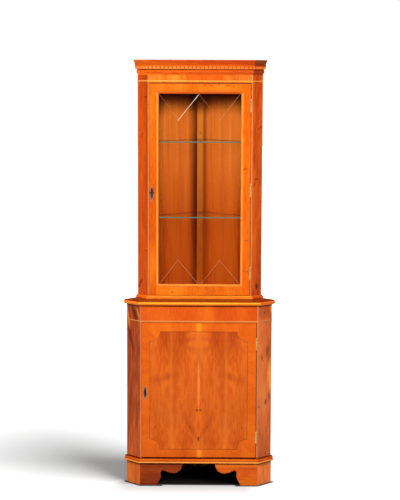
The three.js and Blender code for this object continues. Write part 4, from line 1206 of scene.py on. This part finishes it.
# The pane, with lines cut into its face with a V-shaped wheel. The cuts are given faint, dull and bright
# glass as painted light: the bright one is a painted glint
paneCuts = {
    "depth": 0.9, "lead": 2.4, "runOut": 0.4, "easing": 0.3, "lines": {
        "faint": (1.5, [((-176, 1695), (-93, 1585)), ((-3.5, 1692.5), (85, 1585.5))]),
        "dull": (1.5, [((85, 1585.5), (170.6, 1694.5)), ((-175, 875.5), (-93, 980)),
                       ((-93, 980), (-6.7, 876)), ((6, 876), (86, 979)), ((86, 979), (171, 878))]),
        "bright": (2.8, [((-93, 1585), (-6.7, 1692.5))])},
}
paneGlass = [
    glassMaterial("clearFloatGlass", "#0c1210", 0.04, 0.03),
    glassMaterial("wheelCutGlassFaint", "#d09060", 0.45, 0.4),
    glassMaterial("wheelCutGlass", "#e0a47c", 0.55, 0.4),
    glassMaterial("wheelCutGlassPaintedGlint", "#e8ccb4", 0.85, 0.35),
]
shelfGlass = [
    glassMaterial("clearShelfGlass", "#0c1812", 0.03, 0.03),
    glassMaterial("groundShelfEdge", "#507458", 0.8, 0.2),
    glassMaterial("groundShelfEdgeSeenThrough", "#50402c", 0.25, 0.2),
]


def addPane(look):
    low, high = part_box("upper_door_pane")
    pane = ease(startBox("cut_glass_pane", low, high), look["easing"])
    for material in paneGlass:
        pane.data.materials.append(material)
    for index, (width, lines) in enumerate(look["lines"].values(), 1):
        for start, end in lines:
            start, end = place(start[0], 0, start[1]), place(end[0], 0, end[1])
            along = (end - start).normalized() * mm
            start, end = start - along * look["lead"], end + along * look["runOut"]
            across = Vector((-along.z, 0, along.x)) * width / 2
            face = Vector((0, low.y - 0.05 * mm, 0))
            wheel = drawOutline("wheel", [start + across + face, start - across + face,
                                          start + Vector((0, low.y + look["depth"] * mm, 0))])
            pull(wheel, end - start)
            for material in paneGlass:
                wheel.data.materials.append(material)
            paintFaces(wheel, index, lambda middle, normal: True)
            cutAway(pane, wheel)
    fit(pane, "upper_door", "glass", paneGlass, "upper_door_pane")
    pane.visible_shadow = False


addPane(paneCuts)
for stage in plans:
    shelf = easedNode(f"glass_shelf_{stage}", "case", "glass", shelfGlass, 0.5)
    paintFaces(shelf, 1, lambda middle, normal: normal.y < -0.6)
    paintFaces(shelf, 2, lambda middle, normal: abs(normal.z) < 0.9 and normal.y >= -0.6)
print("glass made")

# Metal: butt hinges, keyhole plates, key, locks, shelf pegs and screws
brass = metalMaterial("lacqueredBrass", "#f0cc80", "#d8a858", 0.3, 9, 0.5)
agedBrass = metalMaterial("antiquedBrass", "#5c4a3c", "#443428", 0.42, 14, 0.6)
rubbedBrass = metalMaterial("antiquedBrassRubbedEdge", "#b8a084", "#8c7460", 0.38, 14, 0.6)
steel = metalMaterial("platedSteel", "#b0b2b4", "#84868a", 0.35, 12)
screw = {"radius": 2.6, "proud": 0.18, "shank": 3, "slotWidth": 0.6, "slotDepth": 0.35, "easing": 0.08}


def makeScrew(look):
    # A slotted head that faces -Y, at the origin
    head = startRod("screw", look["radius"], place(0, -look["proud"], 0), place(0, look["shank"], 0), 16)
    reach, half = look["radius"] + 1, look["slotWidth"] / 2
    slot = startBox("slot", place(-reach, -1, -half), place(reach, look["slotDepth"] - look["proud"], half))
    return ease(cutAway(head, slot), look["easing"], 1)


screwPattern = makeScrew(screw)


def screwAt(x, y, z, turn, slant, size=1):
    spot = Matrix.Translation(place(x, y, z)) @ turned(turn, "Z") @ turned(slant, "Y")
    return copyPiece(screwPattern, "screw", spot @ Matrix.Scale(size, 4))


hinge = {
    "knuckles": 5, "radius": 4, "pin": 1.5, "play": 0.3, "gap": 0.15, "easing": 0.35,
    "finial": 2.6, "finialHeight": 2.5, "finialEasing": 0.9,
    "leaf": 1, "depth": 16, "start": 0.5, "tongue": 2.5, "screwDepth": 10, "screwEnds": 8,
}


def addHinge(name, front, look, body):
    low, high = boxOf(f"{name}_door_leaf")
    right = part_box(f"{name}_frame_leaf")[1].x / mm
    faces = {"frame": (right - look["leaf"], right), "door": (low.x, low.x + look["leaf"])}
    axisX, axisY = (right + low.x) / 2, front - look["radius"]
    step = (high.z - low.z) / look["knuckles"]

    def rod(name, radius, z0, z1, sides=24):
        return startRod(name, radius, place(axisX, axisY, z0), place(axisX, axisY, z1), sides)

    for first, (word, (x0, x1)) in enumerate(faces.items()):
        start = front + look["start"]
        leaf = startBox("leaf", place(x0, start, low.z), place(x1, front + look["depth"], high.z))
        parts = [ease(leaf, look["easing"] / 2, 1)]
        for i in range(first, look["knuckles"], 2):
            z0 = low.z + i * step + (look["gap"] if i else 0)
            z1 = low.z + (i + 1) * step - (look["gap"] if i < look["knuckles"] - 1 else 0)
            knuckle = ease(rod("knuckle", look["radius"], z0, z1), look["easing"])
            parts += [knuckle, startBox("tongue", place(x0, axisY + look["tongue"], z0),
                                        place(x1, start + 1, z1))]
            if word == "door":
                cutAway(knuckle, rod("bore", look["pin"] + look["play"], z0 - 1, z1 + 1, 16))
        if word == "frame":
            foot, head = low.z - look["finialHeight"], high.z + look["finialHeight"]
            parts.append(rod("pin", look["pin"], foot, head, 16))
            for z0, z1 in ((foot, low.z), (high.z, head)):
                parts.append(ease(rod("knob", look["finial"], z0, z1), look["finialEasing"], 3))
        face, turn = (x0, -90) if word == "frame" else (x1, 90)
        for i, z in enumerate((low.z + look["screwEnds"], (low.z + high.z) / 2, high.z - look["screwEnds"])):
            parts.append(screwAt(face, front + look["screwDepth"], z, turn, 20 + 50 * i))
        fit(joinAll(f"{name}_{word}_butt", parts), body if word == "door" else "case", "brass", brass,
            f"{name}_{word}_leaf")


for word in ("low", "middle", "high"):
    addHinge(f"upper_hinge_{word}", upperFront, hinge, "upper_door")
for word in ("low", "high"):
    addHinge(f"lower_hinge_{word}", lowerFront, hinge, "lower_door")


def ovalSheet(x, z, halfWidth, halfHeight, nearY, farY):
    # A sheet with a pointed oval outline: two arcs of one radius that meet in the points
    radius = (halfHeight * halfHeight + halfWidth * halfWidth) / (halfWidth * 2)
    sweep = math.degrees(math.asin(halfHeight / radius))
    right = arc((x - radius + halfWidth, z), (radius, radius), -sweep, sweep, 16)
    left = arc((x + radius - halfWidth, z), (radius, radius), 180 - sweep, 180 + sweep, 16)
    sheet = drawOutline("plate", [place(u, farY, v) for u, v in right[:-1] + left[:-1]])
    return pull(sheet, place(0, nearY - farY, 0))


def addPlate(stage, spot, look):
    # A pointed oval plate with a raised field, both pierced for the key, and two round-headed pins
    x, z, front = spot["x"], spot["z"], spot["front"]
    half, tall = look["width"] / 2, spot["height"] / 2
    face = front - look["thickness"]
    parts = []
    for shrink, nearY, farY in ((0, face, front), (look["margin"], front - look["field"], face + 0.2)):
        sheet = ovalSheet(x, z, half - shrink, tall - shrink * tall / half, nearY, farY)
        parts.append(ease(cutAway(sheet, *keyholeTools(spot, look["spare"])), look["easing"], 2, 50))
    for pinZ in (z - tall + look["pinInset"], z + tall - look["pinInset"]):
        selectNone()
        bpy.ops.mesh.primitive_uv_sphere_add(segments=16, ring_count=10, radius=look["pin"] * mm,
                                             location=place(x, front - look["field"], pinZ))
        bpy.context.object.scale = (1, 0.6, 1)
        parts.append(nameLast("pin"))
    plate = fit(joinAll(f"{stage}_keyhole_plate", parts), f"{stage}_door", "aged_brass",
                [rubbedBrass, agedBrass], f"{stage}_escutcheon")
    paintFaces(plate, 1, lambda middle, normal: middle.y < (face - 0.3) * mm and normal.y < -0.9)


for stage, spot in plates.items():
    addPlate(stage, spot, plateLook)

key = {
    "shank": 2.2, "out": 14, "head": 2.5, "collar": 3.4, "collars": (2.2, 4.6), "collarWidth": 1.2,
    "bow": (9.4, 1.7), "bowOut": 8.5, "squeeze": (1, 0.76, 0.8), "bit": (3, 4.5, 2),
}


def addKey(look):
    x, z, near = plates["upper"]["x"], plates["upper"]["keyhole"], upperFront - look["out"]
    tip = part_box("upper_door_key")[1].y / mm
    parts = [ease(startRod("shank", look["shank"], place(x, near - look["head"], z), place(x, tip, z)), 0.3)]
    for out in look["collars"]:
        ring = startRod("collar", look["collar"], place(x, near + out, z),
                        place(x, near + out + look["collarWidth"], z))
        parts.append(ease(ring, 0.4, 3))
    selectNone()
    bpy.ops.mesh.primitive_torus_add(major_radius=look["bow"][0] * mm, minor_radius=look["bow"][1] * mm,
                                     major_segments=48, minor_segments=14)
    bpy.context.object.scale = look["squeeze"]
    bpy.context.object.location = place(x, near - look["bowOut"], z)
    parts.append(smooth(nameLast("bow"), 60))
    length, reach, thick = look["bit"]
    bit = startBox("bit", place(x, tip - length, z - thick / 2),
                   place(x + look["shank"] + reach, tip, z + thick / 2))
    parts.append(ease(bit, 0.2))
    fit(joinAll("cupboard_key", parts), "upper_key", "aged_brass", agedBrass, "upper_door_key")


addKey(key)
for stage in ("upper", "lower"):
    case = ease(mergedCopy(f"{stage}_lock_case", f"{stage}_lock_box"), 0.3)
    low, high = boxOf(f"{stage}_lock_case")
    screws = [screwAt((low.x + high.x) / 2 + 2, high.y, z, 180, 35, 0.8) for z in (low.z + 6, high.z - 6)]
    fit(joinAll(case.name, [case, *screws]), f"{stage}_door", "steel", steel, f"{stage}_lock_case")
    easedNode(f"{stage}_lock_bolt", f"{stage}_bolt", "brass", brass, 0.4)
for name in (f"shelf_peg_{stage}_{hand}" for stage in plans for hand in ("left", "right", "back")):
    easedNode(name, "case", "brass", agedBrass, 0.4)
bpy.data.objects.remove(screwPattern)
print("metalwork made")
